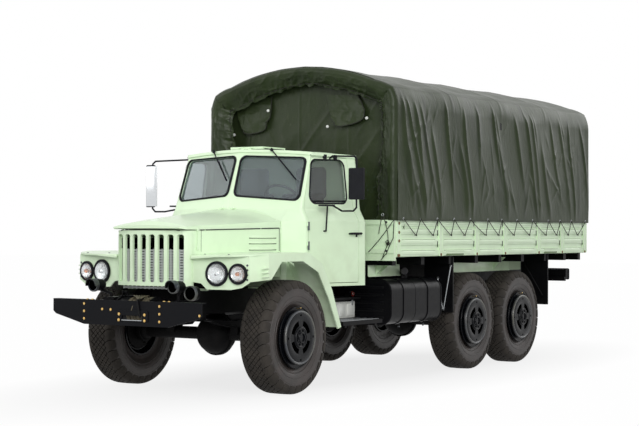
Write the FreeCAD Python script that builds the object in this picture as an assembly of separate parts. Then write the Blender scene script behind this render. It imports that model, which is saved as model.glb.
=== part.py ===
"""Military cargo truck, long-nosed six by six with a tarpaulin body.

Millimetres. +X is the truck's left, +Y its rear, +Z up. Sizes along Y are
measured from the front axle; every piece is moved by -Y_MID when it is
written, so that the origin lies on the ground under the middle of the truck.
"""
import FreeCAD, Part
import math
import os

V = FreeCAD.Vector

# ---------------------------------------------------------------- running gear
TYRE_R = 550.0            # lug tips
TREAD_DEPTH = 20.0
TYRE_HALF = 155.0         # half section width at the sidewalls
TREAD_HALF = 140.0
TREAD_RIB = 16.0          # half width of the rib all the lugs spring from
LUGS = 20                 # on each half of the tread
TYRE_SIDES = 2 * LUGS     # flats round the tyre, a lug on each, left and right by turns
TRACK_HALF = 940.0        # wheel centre plane from the middle of the truck
RIM_BEAD_R = 254.0
RIM_FLANGE_R = 298.0
RIM_WALL = 14.0
COVER_R = 264.0
COVER_OUT = 194.0         # cover face from the wheel centre plane
WHEELBASE = 3610.0        # front axle to middle axle
TANDEM = 1190.0           # middle axle to rear axle
AXLES_Y = (0.0, WHEELBASE, WHEELBASE + TANDEM)
KINGPIN_IN = 160.0        # kingpin inboard of the wheel's centre plane
KINGPIN_X = TRACK_HALF - KINGPIN_IN
SPINDLE_R = 42.0
RUNNING_FIT = 0.05
DRUM_R = 200.0

# ------------------------------------------------------------------- the frame
RAIL_OUT = 430.0
RAIL_W = 75.0
RAIL_T = 8.0
RAIL_BOTTOM = 780.0
RAIL_TOP = 1000.0
HORN_DROP = 90.0          # the front horns sit this much lower
HORN_END_Y = -780.0
AXLE_TUBE_R = 62.0
DIFF_R = 200.0
DIFF_X = 130.0            # the final drives sit left of the middle
SPRING_W = 75.0
LEAF_T = 10.0
LEAVES = 6
PAD_T = 15.0

# ------------------------------------------------------------------ the bumper
BUMPER_Y = -1250.0
BUMPER_HALF = 895.0
BUMPER_TOP = 916.0
BUMPER_BOTTOM = 682.0
BUMPER_T = 10.0
FAIRLEAD = (85.0, 240.0, 758.0, 40.0)    # centre x, width, centre z, height
FAIRLEAD_BOLTS = (300.0, 64.0)           # spacing across and up

# -------------------------------------------------------- bonnet, wings, grille
SKIN = 14.0               # doubled sheet panels
NOSE_Y = -930.0
NOSE_HALF = 440.0
GRILLE_BOTTOM = 1045.0
GRILLE_TOP = 1572.0
SLOTS = 8
SLOT_PITCH = 104.0
SLOT_W = 68.0
SLOT_ROUND = 24.0
SLOT_Z = (1079.0, 1534.0)
BONNET_REAR_Y = 335.0
BONNET_REAR_HALF = 660.0
SEAM_FRONT_Z = 1577.0
SEAM_REAR_Z = 1600.0
BONNET_T = 22.0
BONNET_GAP = 6.0
WING_TOP = 1350.0
WING_HALF = 1120.0
LAMP_Y = -760.0
HEADLAMP = (700.0, 1169.0, 118.0)        # x, z, radius of the black ring
INDICATOR = (924.0, 1169.0, 98.0)
LAMP_SWEEP = 8.2          # degrees that the lamp panel turns back to the side
LAMP_PANEL_OUT = 1036.0   # its outer edge before it is turned

# --------------------------------------------------------------------- the cab
CAB_FLOOR = 1015.0
BELT_Z = 1670.0
CAB_REAR_Y = 1360.0
CAB_WALL = 34.0
SHOULDER_Z = 1790.0       # the narrower upper part starts here
FRONT_Y0 = 343.0          # front face at the middle, up to the shoulder
LOW_SWEEP = 0.01          # the front face runs back this much per unit of x
KNEE_X = 660.0            # below the belt the face turns back here to the door
LOW_CORNER = (866.0, 500.0)
SCREEN_SWEEP = 0.193      # the screen halves run back more
RAKE = 0.37               # and lean back
SIDE_X0 = 801.5           # upper side plane where y is SIDE_Y0, at the shoulder
SIDE_Y0 = 500.0
FLARE = 0.2125            # sides widen to the rear
LEAN = 0.12               # the upper sides lean in
CORNER_R = 42.0
HATCH = 340.0
HATCH_Y = 880.0
HATCH_COLLAR = 20.0
HATCH_HINGE_UP = 4.0      # its axis above the collar
HATCH_HINGE_OUT = 10.0    # and ahead of the lid
DOOR_HINGE = (882.5, 512.0)
HINGE_R = 9.0
ROOF_CROWN = 2400.0
ROOF_EDGE = 2350.0
ROOF_EDGE_X = 900.0
GUTTER = 14.0
DOOR_GAP = 6.0
DOOR_FRONT = 522.0        # front edge of the door's opening, below the belt
GLASS_T = 6.0
SEAT_FIT = 0.3            # panes and soft pieces stand this far off
SEAT_TOP = 1990.0
WHEEL_HUB = (380.0, 800.0, 1850.0)

# -------------------------------------------------------------- the cargo body
BED_HALF = 1192.0
BED_FRONT = 1662.0
BED_REAR = 6520.0
BED_BOTTOM = 1302.0
FLOOR_T = 40.0
BOARD_T = 30.0
POST_T = 14.0
BOARD_TOP = 1690.0
POSTS_Y = (1748.0, 2665.0, 3510.0, 4222.0, 5126.0, 5797.0, 6480.0)
TAILGATE_T = 34.0
BEARER_Z = 1212.0         # cross bearers from here to the floor
BEARER_HALF = 35.0
BEARERS_Y = (1760.0, 2370.0, 2990.0, 3610.0, 4205.0, 4800.0, 5440.0, 6000.0, 6440.0)
GUARDS_Y = (2990.0, 5440.0)
GATE_HINGES_X = (-900.0, 0.0, 900.0)
GATE_AXIS = (6546.0, 1298.0)

# ----------------------------------------------------------------- the canvas
CANVAS_T = 12.0
CANVAS_HALF = 1212.0
CANVAS_HEM = 1705.0
CANVAS_EAVE = 2860.0
CANVAS_SHOULDER = (960.0, 3132.0)
CANVAS_TOP = 3347.0
CANVAS_FRONT = 1640.0
CANVAS_REAR = 6545.0
OVER_ALL = 3000.0         # a cutter this high clears everything
WALL_TUCK = 170.0         # the front wall hangs this far inside the body
BOW_T = 25.0
BOWS_Y = (1880.0, 2900.0, 4090.0, 5280.0, 6470.0)

ROPE_R = 9.0
FRONT_Y = BUMPER_Y - 2.0 * ROPE_R - SEAT_FIT
REAR_Y = BED_REAR + TAILGATE_T
Y_MID = (FRONT_Y + REAR_Y) / 2.0


# ------------------------------------- outlines and places of the larger pieces
NOSE_REACH = 255.0
TRUNNION_Z = 600.0
TRUNNION_R = 45.0
TRUNNION_TOP = 900.0      # top of its bracket on the rail
REAR_SPRING = (575.0, 42.0)      # half length, drop of the ends
# columns: y, low z, height
CROSS_MEMBERS = ((-860.0, 712.0, 60.0), (-330.0, 770.0, 30.0), (500.0, 770.0, 30.0), (820.0, 800.0, 150.0),
                 (2100.0, 800.0, 180.0), (3150.0, 800.0, 180.0),
                 (WHEELBASE + TANDEM / 2.0 - 30.0, 800.0, 180.0), (5400.0, 800.0, 180.0))
CAB_MOUNTS_Y = (640.0, 1240.0)
HANGER_Y = (1370.0, 1430.0)              # cross bar that carries the transfer case
HANGER_Z = (900.0, 960.0)
HITCH_R = 32.0
HITCH_PLATE = 85.0
HITCH_PLATE_Z = (815.0, 965.0)
# columns: y, half width, side z, crown z
BONNET = ((NOSE_Y - 24, 400.0, 1592.0, 1622.0),
          (NOSE_Y + 40, NOSE_HALF, 1582.0, 1660.0),
          (-700.0, 452.0, SEAM_FRONT_Z + 4, 1688.0),
          (BONNET_REAR_Y, BONNET_REAR_HALF, SEAM_REAR_Z, 1790.0))
# side view of a wing's top sheet, front to rear: y, z
WING_LINE = ((-860.0, 1288.0), (-825.0, 1326.0), (-500.0, WING_TOP), (150.0, WING_TOP), (385.0, 1245.0),
             (565.0, 985.0), (735.0, 612.0))
# lower edge of the outer skirt, rear to front: y, z
ARCH_LINE = ((690.0, 600.0), (520.0, 905.0), (330.0, 1170.0), (60.0, 1280.0), (-300.0, 1280.0),
             (-470.0, 1118.0), (-842.0, 1080.0))
# plan of the wing's front edge and outer side, from the grille outwards: x, y
BROW = ((NOSE_HALF - 40, -846.0), (700.0, -828.0), (900.0, -782.0), (1010.0, -728.0), (1062.0, -665.0),
        (WING_HALF, -520.0))
SKIRT_FRONT = ((1030.0, -706.0), (WING_HALF, -520.0))
# outlines of the left panes: screen as (x, z), door window as (y, z), rear as (x, z)
SCREEN_PANE = ((34.0, 2334.0), (737.0, 2307.0), (754.0, 1876.0), (44.0, 1927.0))
DOOR_PANE = ((700.0, 2290.0), (1150.0, 2296.0), (1146.0, 1854.0), (614.0, 1848.0))
REAR_PANE = ((170.0, 2240.0), (560.0, 2240.0), (560.0, 1900.0), (170.0, 1900.0))
# door outline in the side view: y, z
DOOR = ((DOOR_FRONT, 1700.0), (DOOR_FRONT, 1290.0), (620.0, 1100.0), (650.0, CAB_FLOOR + 30),
        (1235.0, CAB_FLOOR + 30), (1235.0, 1700.0), (1205.0, 2322.0), (700.0, 2322.0), (545.0, 1868.0))
ARCH_CLEAR = 8.0
ARCH_IN = 704.0           # inner side of the wheel housing
HOUSING_T = 16.0
HINGES_Z = (1425.0, 1620.0)
BONNET_AXIS = (338.0, 1799.0)
HATCH_LAP = 34.0          # the lid reaches this far past the opening
HATCH_AXIS = (HATCH_Y - HATCH / 2 - HATCH_LAP - HATCH_HINGE_OUT, ROOF_CROWN + HATCH_COLLAR + HATCH_HINGE_UP)
MIRROR_OUT = 1378.0
# columns: head width, low z, high z, for the left and the right side
MIRROR_HEADS = {1: (174.0, 1885.0, 2200.0), -1: (106.0, 1820.0, 2275.0)}
TANK = (470.0, 1130.0, 1700.0, 2790.0, 590.0, 1060.0)
STRAPS_Y = (1960.0, 2480.0)
TANK_ARM_Z = 640.0
GUARD_X = (780.0, 1140.0)


# ------------------------------------------------------------- drawing helpers
def block(x0, x1, y0, y1, z0, z1):
    """Box between two corners."""
    return Part.makeBox(x1 - x0, y1 - y0, z1 - z0, V(x0, y0, z0))


def rod(p, q, r):
    """Round bar from p to q."""
    p, q = V(*p), V(*q)
    return Part.makeCylinder(r, (q - p).Length, p, q - p)


def ring(p, q, r_out, r_in):
    """Round bar from p to q with a bore."""
    return rod(p, q, r_out).cut(rod(p, q, r_in))


def fuse(pieces):
    """One shape of all the pieces, without seams."""
    pieces = list(pieces)
    if len(pieces) == 1:
        return pieces[0]
    return pieces[0].multiFuse(pieces[1:]).removeSplitter()


def together(pieces):
    """Pieces that do not touch, kept in one node."""
    return Part.makeCompound(list(pieces))


def mirrored(shape):
    """The same piece on the other side of the truck."""
    return shape.mirror(V(0, 0, 0), V(1, 0, 0))


def both(shape):
    """The piece and its mirror image."""
    return together([shape, mirrored(shape)])


def loop(points):
    """Closed wire through the points."""
    return Part.makePolygon([V(*p) for p in points] + [V(*points[0])])


def plate_x(yz, x0, x1):
    """Outline in the side view, from x0 to x1."""
    return Part.Face(loop([(x0, y, z) for y, z in yz])).extrude(V(x1 - x0, 0, 0))


def plate_y(xz, y0, y1):
    """Outline in the front view, from y0 to y1."""
    return Part.Face(loop([(x, y0, z) for x, z in xz])).extrude(V(0, y1 - y0, 0))


def plate_z(xy, z0, z1):
    """Outline in the plan view, from z0 to z1."""
    return Part.Face(loop([(x, y, z0) for x, y in xy])).extrude(V(0, 0, z1 - z0))


def rounded(points, radius, sharp=()):
    """Closed wire through coplanar points; each corner is an arc, but those numbered in sharp."""
    pts = [V(*p) for p in points]
    edges, first, last = [], None, None
    for i, here in enumerate(pts):
        start = end = here
        if i not in sharp:
            back = (pts[i - 1] - here).normalize()
            ahead = (pts[(i + 1) % len(pts)] - here).normalize()
            half = back.getAngle(ahead) / 2.0
            reach = radius / math.tan(half)
            start, end = here + back * reach, here + ahead * reach
            middle = here + (back + ahead).normalize() * (radius / math.sin(half) - radius)
        if last is not None:
            edges.append(Part.LineSegment(last, start).toShape())
        if i not in sharp:
            edges.append(Part.Arc(start, middle, end).toShape())
        first = start if first is None else first
        last = end
    edges.append(Part.LineSegment(last, first).toShape())
    return Part.Wire(edges)


def pipe(points, r):
    """Bent round bar: straight runs with balls at the bends."""
    runs = [rod(a, b, r) for a, b in zip(points, points[1:])]
    balls = [Part.makeSphere(r, V(*p)) for p in points[1:-1]]
    return fuse(runs + balls)


def spun(profile, x0, y, z):
    """Profile of (x, r) pairs turned about the axle line at y, z."""
    face = Part.Face(loop([(x0 + x, y, z + r) for x, r in profile]))
    return face.revolve(V(0, y, z), V(1, 0, 0), 360)


# ----------------------------------------------------------------- the wheels
def tyre(side, y):
    """Tyre of flats, with a rib round its middle and a lug on every flat, left and right by turns."""
    c = side * TRACK_HALF
    corner = 1.0 / math.cos(math.pi / TYRE_SIDES)
    foot = TYRE_R - TREAD_DEPTH
    bead = RIM_BEAD_R + 0.2

    def at(x, radius, k):
        turn = 2.0 * math.pi * (k - 0.5) / TYRE_SIDES
        return c + x, y + radius * corner * math.sin(turn), TYRE_R - radius * corner * math.cos(turn)

    faces = []
    for k in range(TYRE_SIDES):
        way = 1 if k % 2 else -1
        rib, end = way * TREAD_RIB, way * TREAD_HALF
        across = [((-118.0, bead), (-TYRE_HALF, 410.0)), ((-TYRE_HALF, 410.0), (-TREAD_HALF, foot)),
                  ((118.0, bead), (TYRE_HALF, 410.0)), ((TYRE_HALF, 410.0), (TREAD_HALF, foot)),
                  ((-118.0, bead), (118.0, bead)), ((end, foot), (end, TYRE_R)),
                  ((end, TYRE_R), (rib, TYRE_R), (-rib, TYRE_R)),
                  ((-rib, TYRE_R), (-rib, foot)), ((-rib, foot), (-end, foot))]
        for line in across:
            faces.append(loop([at(x, r, k) for x, r in line] + [at(x, r, k + 1) for x, r in reversed(line)]))
        for m in (k, k + 1):
            faces.append(loop([at(end, TYRE_R, m), at(rib, TYRE_R, m), at(rib, foot, m), at(end, foot, m)]))
    body = Part.Solid(Part.makeShell([Part.Face(f) for f in faces]))
    if body.Volume < 0:
        body.reverse()
    return body


def rim(side, y):
    """Rim, pressed disc, brake drum and dished cover as one piece."""
    c = side * TRACK_HALF
    barrel_in = RIM_BEAD_R - RIM_WALL - SEAT_FIT
    bead = RIM_BEAD_R - SEAT_FIT
    parts = [spun([(-118, barrel_in), (150, barrel_in), (150, RIM_FLANGE_R - 6), (146, RIM_FLANGE_R),
                   (141, RIM_FLANGE_R), (141, 275), (124, bead), (-118, bead)], c, y, TYRE_R)]
    parts.append(spun([(40, 0), (62, 0), (62, 120), (40, 120)], c, y, TYRE_R))
    parts.append(spun([(52, 90), (62, 90), (20, 236), (20, barrel_in + 1), (8, barrel_in + 1), (8, 232)],
                      c, y, TYRE_R))
    parts.append(spun([(140, barrel_in + 2), (176, COVER_R), (188, COVER_R - 6), (COVER_OUT, COVER_R - 18),
                       (COVER_OUT, 60), (COVER_OUT - 10, 60), (COVER_OUT - 10, COVER_R - 24), (150, 228),
                       (140, 228)], c, y, TYRE_R))
    parts.append(spun([(50, 0), (COVER_OUT + 4, 0), (COVER_OUT + 4, 34), (COVER_OUT, 62), (50, 90)],
                      c, y, TYRE_R))
    body = fuse(parts) if side > 0 else fuse([mirrored_about(p, c) for p in parts])
    for k in range(4):
        body = body.cut(kidney(side, y, 90.0 * k + 20.0))
    drum = [(-72, DRUM_R - 8), (-72, DRUM_R), (36, DRUM_R), (44, 110), (44, 0), (30, 0),
            (30, SPINDLE_R + RUNNING_FIT), (-40, SPINDLE_R + RUNNING_FIT), (-40, 70), (20, 78),
            (20, DRUM_R - 8)]
    shell = spun(drum, c, y, TYRE_R)
    if side < 0:
        shell = mirrored_about(shell, c)
    return fuse([body, shell])


def mirrored_about(shape, x):
    """Mirror image across the plane at x."""
    return shape.mirror(V(x, 0, 0), V(1, 0, 0))


def kidney(side, y, degrees):
    """Slot through the cover, a sixth of a turn long."""
    c = side * TRACK_HALF
    x0 = c + side * (COVER_OUT - 14)
    x1 = c + side * (COVER_OUT + 10)
    span = ring((x0, y, TYRE_R), (x1, y, TYRE_R), 178, 112)
    a = math.radians(degrees)
    b = math.radians(degrees + 52)
    fan = [(y, TYRE_R), (y + 300 * math.cos(a), TYRE_R + 300 * math.sin(a)),
           (y + 300 * math.cos(b), TYRE_R + 300 * math.sin(b))]
    wedge = plate_x(fan, min(x0, x1), max(x0, x1))
    return span.common(wedge)


# ------------------------------------------------------------------- the axles


def diff(y):
    """Round final drive casing with its cover flange."""
    ball = Part.makeSphere(DIFF_R, V(DIFF_X, y, TYRE_R))
    flange = rod((DIFF_X, y - 20, TYRE_R), (DIFF_X, y + 20, TYRE_R), DIFF_R + 14)
    return fuse([ball, flange])


def front_axle():
    tube = rod((-KINGPIN_X + 60, 0, TYRE_R), (KINGPIN_X - 60, 0, TYRE_R), AXLE_TUBE_R)
    nose = rod((DIFF_X, 0, TYRE_R + 30), (DIFF_X, NOSE_REACH, TYRE_R + 30), 70)
    pads = [block(s * 392 - 45, s * 392 + 45, -70, 70, TYRE_R, TYRE_R + AXLE_TUBE_R + PAD_T) for s in (1, -1)]
    axle = fuse([tube, diff(0.0), nose] + pads)
    for s in (1, -1):
        ball = Part.makeSphere(88, V(s * KINGPIN_X, 0, TYRE_R))
        axle = axle.fuse(ball).cut(rod((s * KINGPIN_X, 0, TYRE_R - 120), (s * KINGPIN_X, 0, TYRE_R + 120),
                                       18 + RUNNING_FIT))
    return axle.removeSplitter()


def knuckle(side):
    """Steering swivel: housing round the axle's ball, kingpin and spindle."""
    centre = V(side * KINGPIN_X, 0, TYRE_R)
    housing = Part.makeSphere(112, centre).cut(Part.makeSphere(95, centre))
    cut_x = centre.x - side * 18
    housing = housing.cut(block(min(cut_x, cut_x - side * 200), max(cut_x, cut_x - side * 200),
                                -200, 200, TYRE_R - 200, TYRE_R + 200))
    pins = [rod((centre.x, 0, TYRE_R + s * 60), (centre.x, 0, TYRE_R + s * 128), 18) for s in (1, -1)]
    spindle = rod((centre.x + side * 104, 0, TYRE_R), (side * (TRACK_HALF + 25), 0, TYRE_R), SPINDLE_R)
    plate = ring((side * (TRACK_HALF - 88), 0, TYRE_R), (side * (TRACK_HALF - 78), 0, TYRE_R), DRUM_R - 14,
                 75)
    return fuse([housing, spindle, plate] + pins)


def driven_axle(y):
    half = TRACK_HALF + 25
    tube = rod((-half, y, TYRE_R), (half, y, TYRE_R), SPINDLE_R)
    sleeve = rod((-TRACK_HALF + 95, y, TYRE_R), (TRACK_HALF - 95, y, TYRE_R), AXLE_TUBE_R + 8)
    nose = rod((DIFF_X, y, TYRE_R + 40), (DIFF_X, y - NOSE_REACH, TYRE_R + 40), 70)
    tail = rod((DIFF_X, y, TYRE_R + 40), (DIFF_X, y + DIFF_R + 10, TYRE_R + 40), 60)
    plates = [rod((s * (TRACK_HALF - 95), y, TYRE_R), (s * (TRACK_HALF - 78), y, TYRE_R), DRUM_R - 14)
              for s in (1, -1)]
    seat_z = TRUNNION_Z + TRUNNION_R + 30 - REAR_SPRING[1]
    seats = [block(s * 392 - 34, s * 392 + 34, y - 50, y + 50, TYRE_R, seat_z) for s in (1, -1)]
    return fuse([tube, sleeve, diff(y), nose, tail] + plates + seats)


def leaf_pack(y, z_bottom, half_length, sag, upward):
    """Stack of leaves; upward is +1 when the ends stand higher than the middle."""
    radius = (half_length ** 2 + sag ** 2) / (2.0 * sag)
    leaves = []
    for i in range(LEAVES):
        inner = radius + i * LEAF_T
        share = 1.0 - i / (LEAVES + 1.0)
        angle = math.degrees(math.asin(half_length / radius)) * share
        zc = z_bottom + LEAVES * LEAF_T + radius if upward > 0 else z_bottom - radius
        start = 270 - angle if upward > 0 else 90 - angle
        leaf = arc_bar(y, zc, inner, inner + LEAF_T, start, start + 2 * angle)
        leaves.append(leaf)
    return fuse(leaves)


def arc_bar(y, z, r0, r1, a0, a1):
    """Part of a ring in the side view, SPRING_W wide, under each rail."""
    def at(r, a):
        return V(RAIL_OUT - RAIL_W, y + r * math.cos(math.radians(a)), z + r * math.sin(math.radians(a)))
    mid = (a0 + a1) / 2.0
    wire = Part.Wire([Part.Arc(at(r0, a0), at(r0, mid), at(r0, a1)).toShape(),
                      Part.LineSegment(at(r0, a1), at(r1, a1)).toShape(),
                      Part.Arc(at(r1, a1), at(r1, mid), at(r1, a0)).toShape(),
                      Part.LineSegment(at(r1, a0), at(r0, a0)).toShape()])
    return Part.Face(wire).extrude(V(SPRING_W, 0, 0))


def front_springs():
    x0, x1 = RAIL_OUT - RAIL_W, RAIL_OUT
    z = TYRE_R + AXLE_TUBE_R + PAD_T
    pack = leaf_pack(0.0, z, 600.0, 55.0, 1)
    hangers = [block(x0, x1, y - 30, y + 30, z + LEAVES * LEAF_T + 30, RAIL_BOTTOM) for y in (-600, 600)]
    clamp = block(x0 - 6, x1 + 6, -60, 60, z + LEAVES * LEAF_T - 4, z + LEAVES * LEAF_T + 16)
    return both(fuse([pack, clamp] + hangers))


def rear_springs():
    """Inverted packs on a trunnion midway between the two rear axles."""
    y = WHEELBASE + TANDEM / 2.0
    x0, x1 = RAIL_OUT - RAIL_W, RAIL_OUT
    z = TRUNNION_Z + TRUNNION_R + SEAT_FIT
    pack = leaf_pack(y, z + 30, REAR_SPRING[0], REAR_SPRING[1], -1)
    saddle = block(x0 - 10, x1 + 10, y - 70, y + 70, z, z + 32)
    post = block(x0, x1, y - 60, y + 60, z + 80, RAIL_BOTTOM)
    return both(fuse([pack, saddle, post]))


def trunnion():
    """Stub shafts under the rails, each in a bracket from the cross member."""
    y = WHEELBASE + TANDEM / 2.0
    x_in = RAIL_OUT - RAIL_W
    stub = rod((x_in - 35, y, TRUNNION_Z), (RAIL_OUT + 20, y, TRUNNION_Z), TRUNNION_R)
    bracket = block(x_in - 35, x_in - 12, y - 55, y + 55, TRUNNION_Z - 50, TRUNNION_TOP)
    return [stub, bracket, mirrored(stub), mirrored(bracket)]


# ------------------------------------------------------------------- the frame
def rail(side):
    """Channel side rail, lower at the front horns."""
    line = [(BUMPER_Y + BUMPER_T, -HORN_DROP), (HORN_END_Y, -HORN_DROP), (HORN_END_Y + 140, 0),
            (BED_REAR - 120, 0)]
    outline = [(y, RAIL_TOP + dz) for y, dz in line] + [(y, RAIL_BOTTOM + dz) for y, dz in reversed(line)]
    x0, x1 = sorted((side * RAIL_OUT, side * (RAIL_OUT - RAIL_W)))
    full = plate_x(outline, x0, x1)
    inner = [(y, RAIL_TOP + dz - RAIL_T) for y, dz in line] + \
            [(y, RAIL_BOTTOM + dz + RAIL_T) for y, dz in reversed(line)]
    inner[0] = (inner[0][0] - 5, inner[0][1])
    inner[-1] = (inner[-1][0] - 5, inner[-1][1])
    inner[3] = (inner[3][0] + 5, inner[3][1])
    inner[4] = (inner[4][0] + 5, inner[4][1])
    web = side * (RAIL_OUT - RAIL_T)
    hollow = plate_x(inner, min(web, side * (RAIL_OUT - RAIL_W - 5)),
                     max(web, side * (RAIL_OUT - RAIL_W - 5)))
    return full.cut(hollow)


def frame():
    web = RAIL_OUT - RAIL_T
    members = [block(-web, web, y, y + 60, z, z + h) for y, z, h in CROSS_MEMBERS]
    tail = block(-web, web, BED_REAR - 180, BED_REAR - 120, RAIL_BOTTOM + 2, RAIL_TOP - 2)
    tail = tail.cut(rod((0, BED_REAR - 200, 890), (0, BED_REAR - 100, 890), HITCH_R + SEAT_FIT))
    pads = [block(s * 392 - 36, s * 392 + 36, y, y + 70, RAIL_TOP,
                  CAB_FLOOR) for y in CAB_MOUNTS_Y for s in (1, -1)]
    return fuse([rail(1), rail(-1), tail] + members + pads)


def tow_hook():
    """Pintle hook on the tail member, with a drop-in jaw and a shank."""
    y0 = BED_REAR - 120
    shank = rod((0, y0 - 190, 890), (0, y0, 890), HITCH_R)
    flange = block(-HITCH_PLATE, HITCH_PLATE, y0, y0 + 16, *HITCH_PLATE_Z)
    body = block(-38, 38, y0 + 16, y0 + 60, 835, 945)
    jaw = plate_x([(y0 + 60, 845), (y0 + 130, 845), (y0 + 146, 880), (y0 + 140, 925), (y0 + 126, 935),
                   (y0 + 114, 925), (y0 + 112, 886), (y0 + 60, 886)], -30, 30)
    return fuse([shank, flange, body, jaw])


def engine_block():
    return fuse([block(-240, 240, -560, 180, 800, 1480), block(-170, 170, 180, 560, 800, 1000)])


def driveline():
    """Transfer case and the shafts to the three axles."""
    case = block(-60, 260, 1250, 1560, 640, 960)
    hanger = block(-RAIL_OUT + RAIL_W, RAIL_OUT - RAIL_W, *HANGER_Y, *HANGER_Z)
    reach = NOSE_REACH + SEAT_FIT
    front = shaft(reach, TYRE_R + 30, 1250, 760)
    middle = shaft(1560, 740, WHEELBASE - reach, TYRE_R + 40)
    return fuse([case, hanger, front, middle])


def shaft(y0, z0, y1, z1):
    """Shaft between upright joint faces at y0 and y1."""
    ends = [rod((DIFF_X, y0, z0), (DIFF_X, y0 + 60, z0), 55),
            rod((DIFF_X, y1 - 60, z1), (DIFF_X, y1, z1), 55)]
    return fuse(ends + [rod((DIFF_X, y0 + 40, z0), (DIFF_X, y1 - 40, z1), 42)])


def rear_shaft():
    """Through shaft from the middle axle to the rear one."""
    z = TYRE_R + 40
    return shaft(WHEELBASE + DIFF_R + 10 + SEAT_FIT, z, WHEELBASE + TANDEM - NOSE_REACH - SEAT_FIT, z)


# ------------------------------------------------- front of the truck, low down
def bumper():
    half = BUMPER_HALF
    outline = [(-half, BUMPER_TOP), (half, BUMPER_TOP), (half, 800), (half - 34, 772),
               (505, BUMPER_BOTTOM), (-505, BUMPER_BOTTOM), (34 - half, 772), (-half, 800)]
    face = plate_y(outline, BUMPER_Y, BUMPER_Y + BUMPER_T)
    cx, w, cz, h = FAIRLEAD
    face = face.cut(block(cx - w / 2, cx + w / 2, BUMPER_Y - 1, BUMPER_Y + BUMPER_T + 1, cz - h / 2,
                          cz + h / 2))
    for dx in (-FAIRLEAD_BOLTS[0] / 2, FAIRLEAD_BOLTS[0] / 2):
        for dz in (-FAIRLEAD_BOLTS[1] / 2, FAIRLEAD_BOLTS[1] / 2):
            face = face.cut(rod((cx + dx, BUMPER_Y - 1, cz + dz),
                                (cx + dx, BUMPER_Y + BUMPER_T + 1, cz + dz), 7.0))
    top = block(-BUMPER_HALF, BUMPER_HALF, BUMPER_Y, BUMPER_Y + 70, BUMPER_TOP - 8, BUMPER_TOP)
    rails_in = RAIL_OUT + 2
    top = top.cut(block(-rails_in, rails_in, BUMPER_Y + BUMPER_T, BUMPER_Y + 80, 0, BUMPER_TOP + 1))
    return fuse([face, top])


def winch():
    """Drum on two cheeks between the horns, with its gear case."""
    y, z = -1040.0, 815.0
    inner = RAIL_OUT - RAIL_W
    cheeks = [block(x0, x0 + 14, y - 120, y + 120, 720, 930) for x0 in (-230, 216)]
    drum = rod((-216, y, z), (216, y, z), 55)
    ends = [rod((x, y, z), (x + 10, y, z), 135) for x in (-206, 196)]
    case = block(-inner, -230, y - 100, y + 100, 730, 940)
    shaft = rod((230, y, z), (inner, y, z), 40)
    return fuse(cheeks + [drum, case, shaft] + ends)


def winch_rope():
    """Wound rope and the run over the bumper's edge into the fairlead."""
    y, z = -1040.0, 815.0
    wound = ring((-195.7, y, z), (195.7, y, z), 118, 55.3)
    r = ROPE_R
    front = BUMPER_Y - r - SEAT_FIT
    over = BUMPER_TOP + r + SEAT_FIT
    run = pipe([(60, y, z + 118), (150, BUMPER_Y + 14, over), (154, front, over), (160, front, 880),
                (185, front, 762)], r)
    return fuse([wound, run])


def blackout_lamps():
    """Two hooded lamps on stalks and one round lamp, fixed to the frame horns."""
    pieces = []
    for x, y, z in ((425.0, -1010.0, 1045.0), (-545.0, -1010.0, 1045.0)):
        bowl = rod((x, y - 62, z), (x, y + 40, z), 56)
        back = Part.makeSphere(56, V(x, y + 40, z))
        visor = ring((x, y - 108, z), (x, y - 62, z), 62, 52)
        visor = visor.cut(block(x - 80, x + 80, y - 120, y - 60, z - 80, z - 5))
        foot_x = max(-RAIL_OUT + 20, min(RAIL_OUT - 20, x))
        foot = block(foot_x - 20, foot_x + 20, y + 20, y + 60, RAIL_TOP - HORN_DROP,
                     RAIL_TOP - HORN_DROP + 12)
        stalk = pipe([(foot_x, y + 40, BUMPER_TOP), (foot_x, y + 40, BUMPER_TOP + 49), (x, y + 40, 1000)], 14)
        collar = ring((x, y - 66, z), (x, y - 56, z), 62, 50)
        pieces.append(fuse([bowl, back, visor, collar, stalk, foot]))
    x, y, z = 520.0, -880.0, 985.0
    spot = rod((x, y - 50, z), (x, y + 20, z), 68)
    foot = block(RAIL_OUT - 40, RAIL_OUT, y + 20, y + 60, RAIL_TOP - HORN_DROP, RAIL_TOP - HORN_DROP + 12)
    arm = pipe([(x, y + 10, z - 20), (RAIL_OUT - 20, y + 40, RAIL_TOP - HORN_DROP + 14.5)], 14)
    pieces.append(fuse([spot, arm, foot]))
    return together(pieces)


def radiator():
    core = block(-385, 385, -800, -720, 1010, 1400)
    tank = block(-385, 385, -806, -700, 1400, 1480)
    foot = block(352, 388, -826, -786, RAIL_TOP - HORN_DROP, 1060)
    shelf = block(352, 438, -826, -786, GRILLE_BOTTOM - 12, GRILLE_BOTTOM)
    return fuse([core, tank, both(fuse([foot, shelf]))])


def nose_arc(inset, rear_y):
    """Plan of the bowed grille panel, from side to side."""
    half = NOSE_HALF - inset
    corner_y = NOSE_Y + 70 + inset
    bow_y = NOSE_Y + inset
    shoulder = half - 50
    return Part.Wire([
        Part.LineSegment(V(-half, rear_y, 0), V(-half, corner_y + 50, 0)).toShape(),
        Part.Arc(V(-half, corner_y + 50, 0), V(-half + 15, corner_y + 14, 0),
                 V(-shoulder, corner_y - 22, 0)).toShape(),
        Part.Arc(V(-shoulder, corner_y - 22, 0), V(0, bow_y, 0), V(shoulder, corner_y - 22, 0)).toShape(),
        Part.Arc(V(shoulder, corner_y - 22, 0), V(half - 15, corner_y + 14, 0),
                 V(half, corner_y + 50, 0)).toShape(),
        Part.LineSegment(V(half, corner_y + 50, 0), V(half, rear_y, 0)).toShape(),
        Part.LineSegment(V(half, rear_y, 0), V(-half, rear_y, 0)).toShape()])


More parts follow.
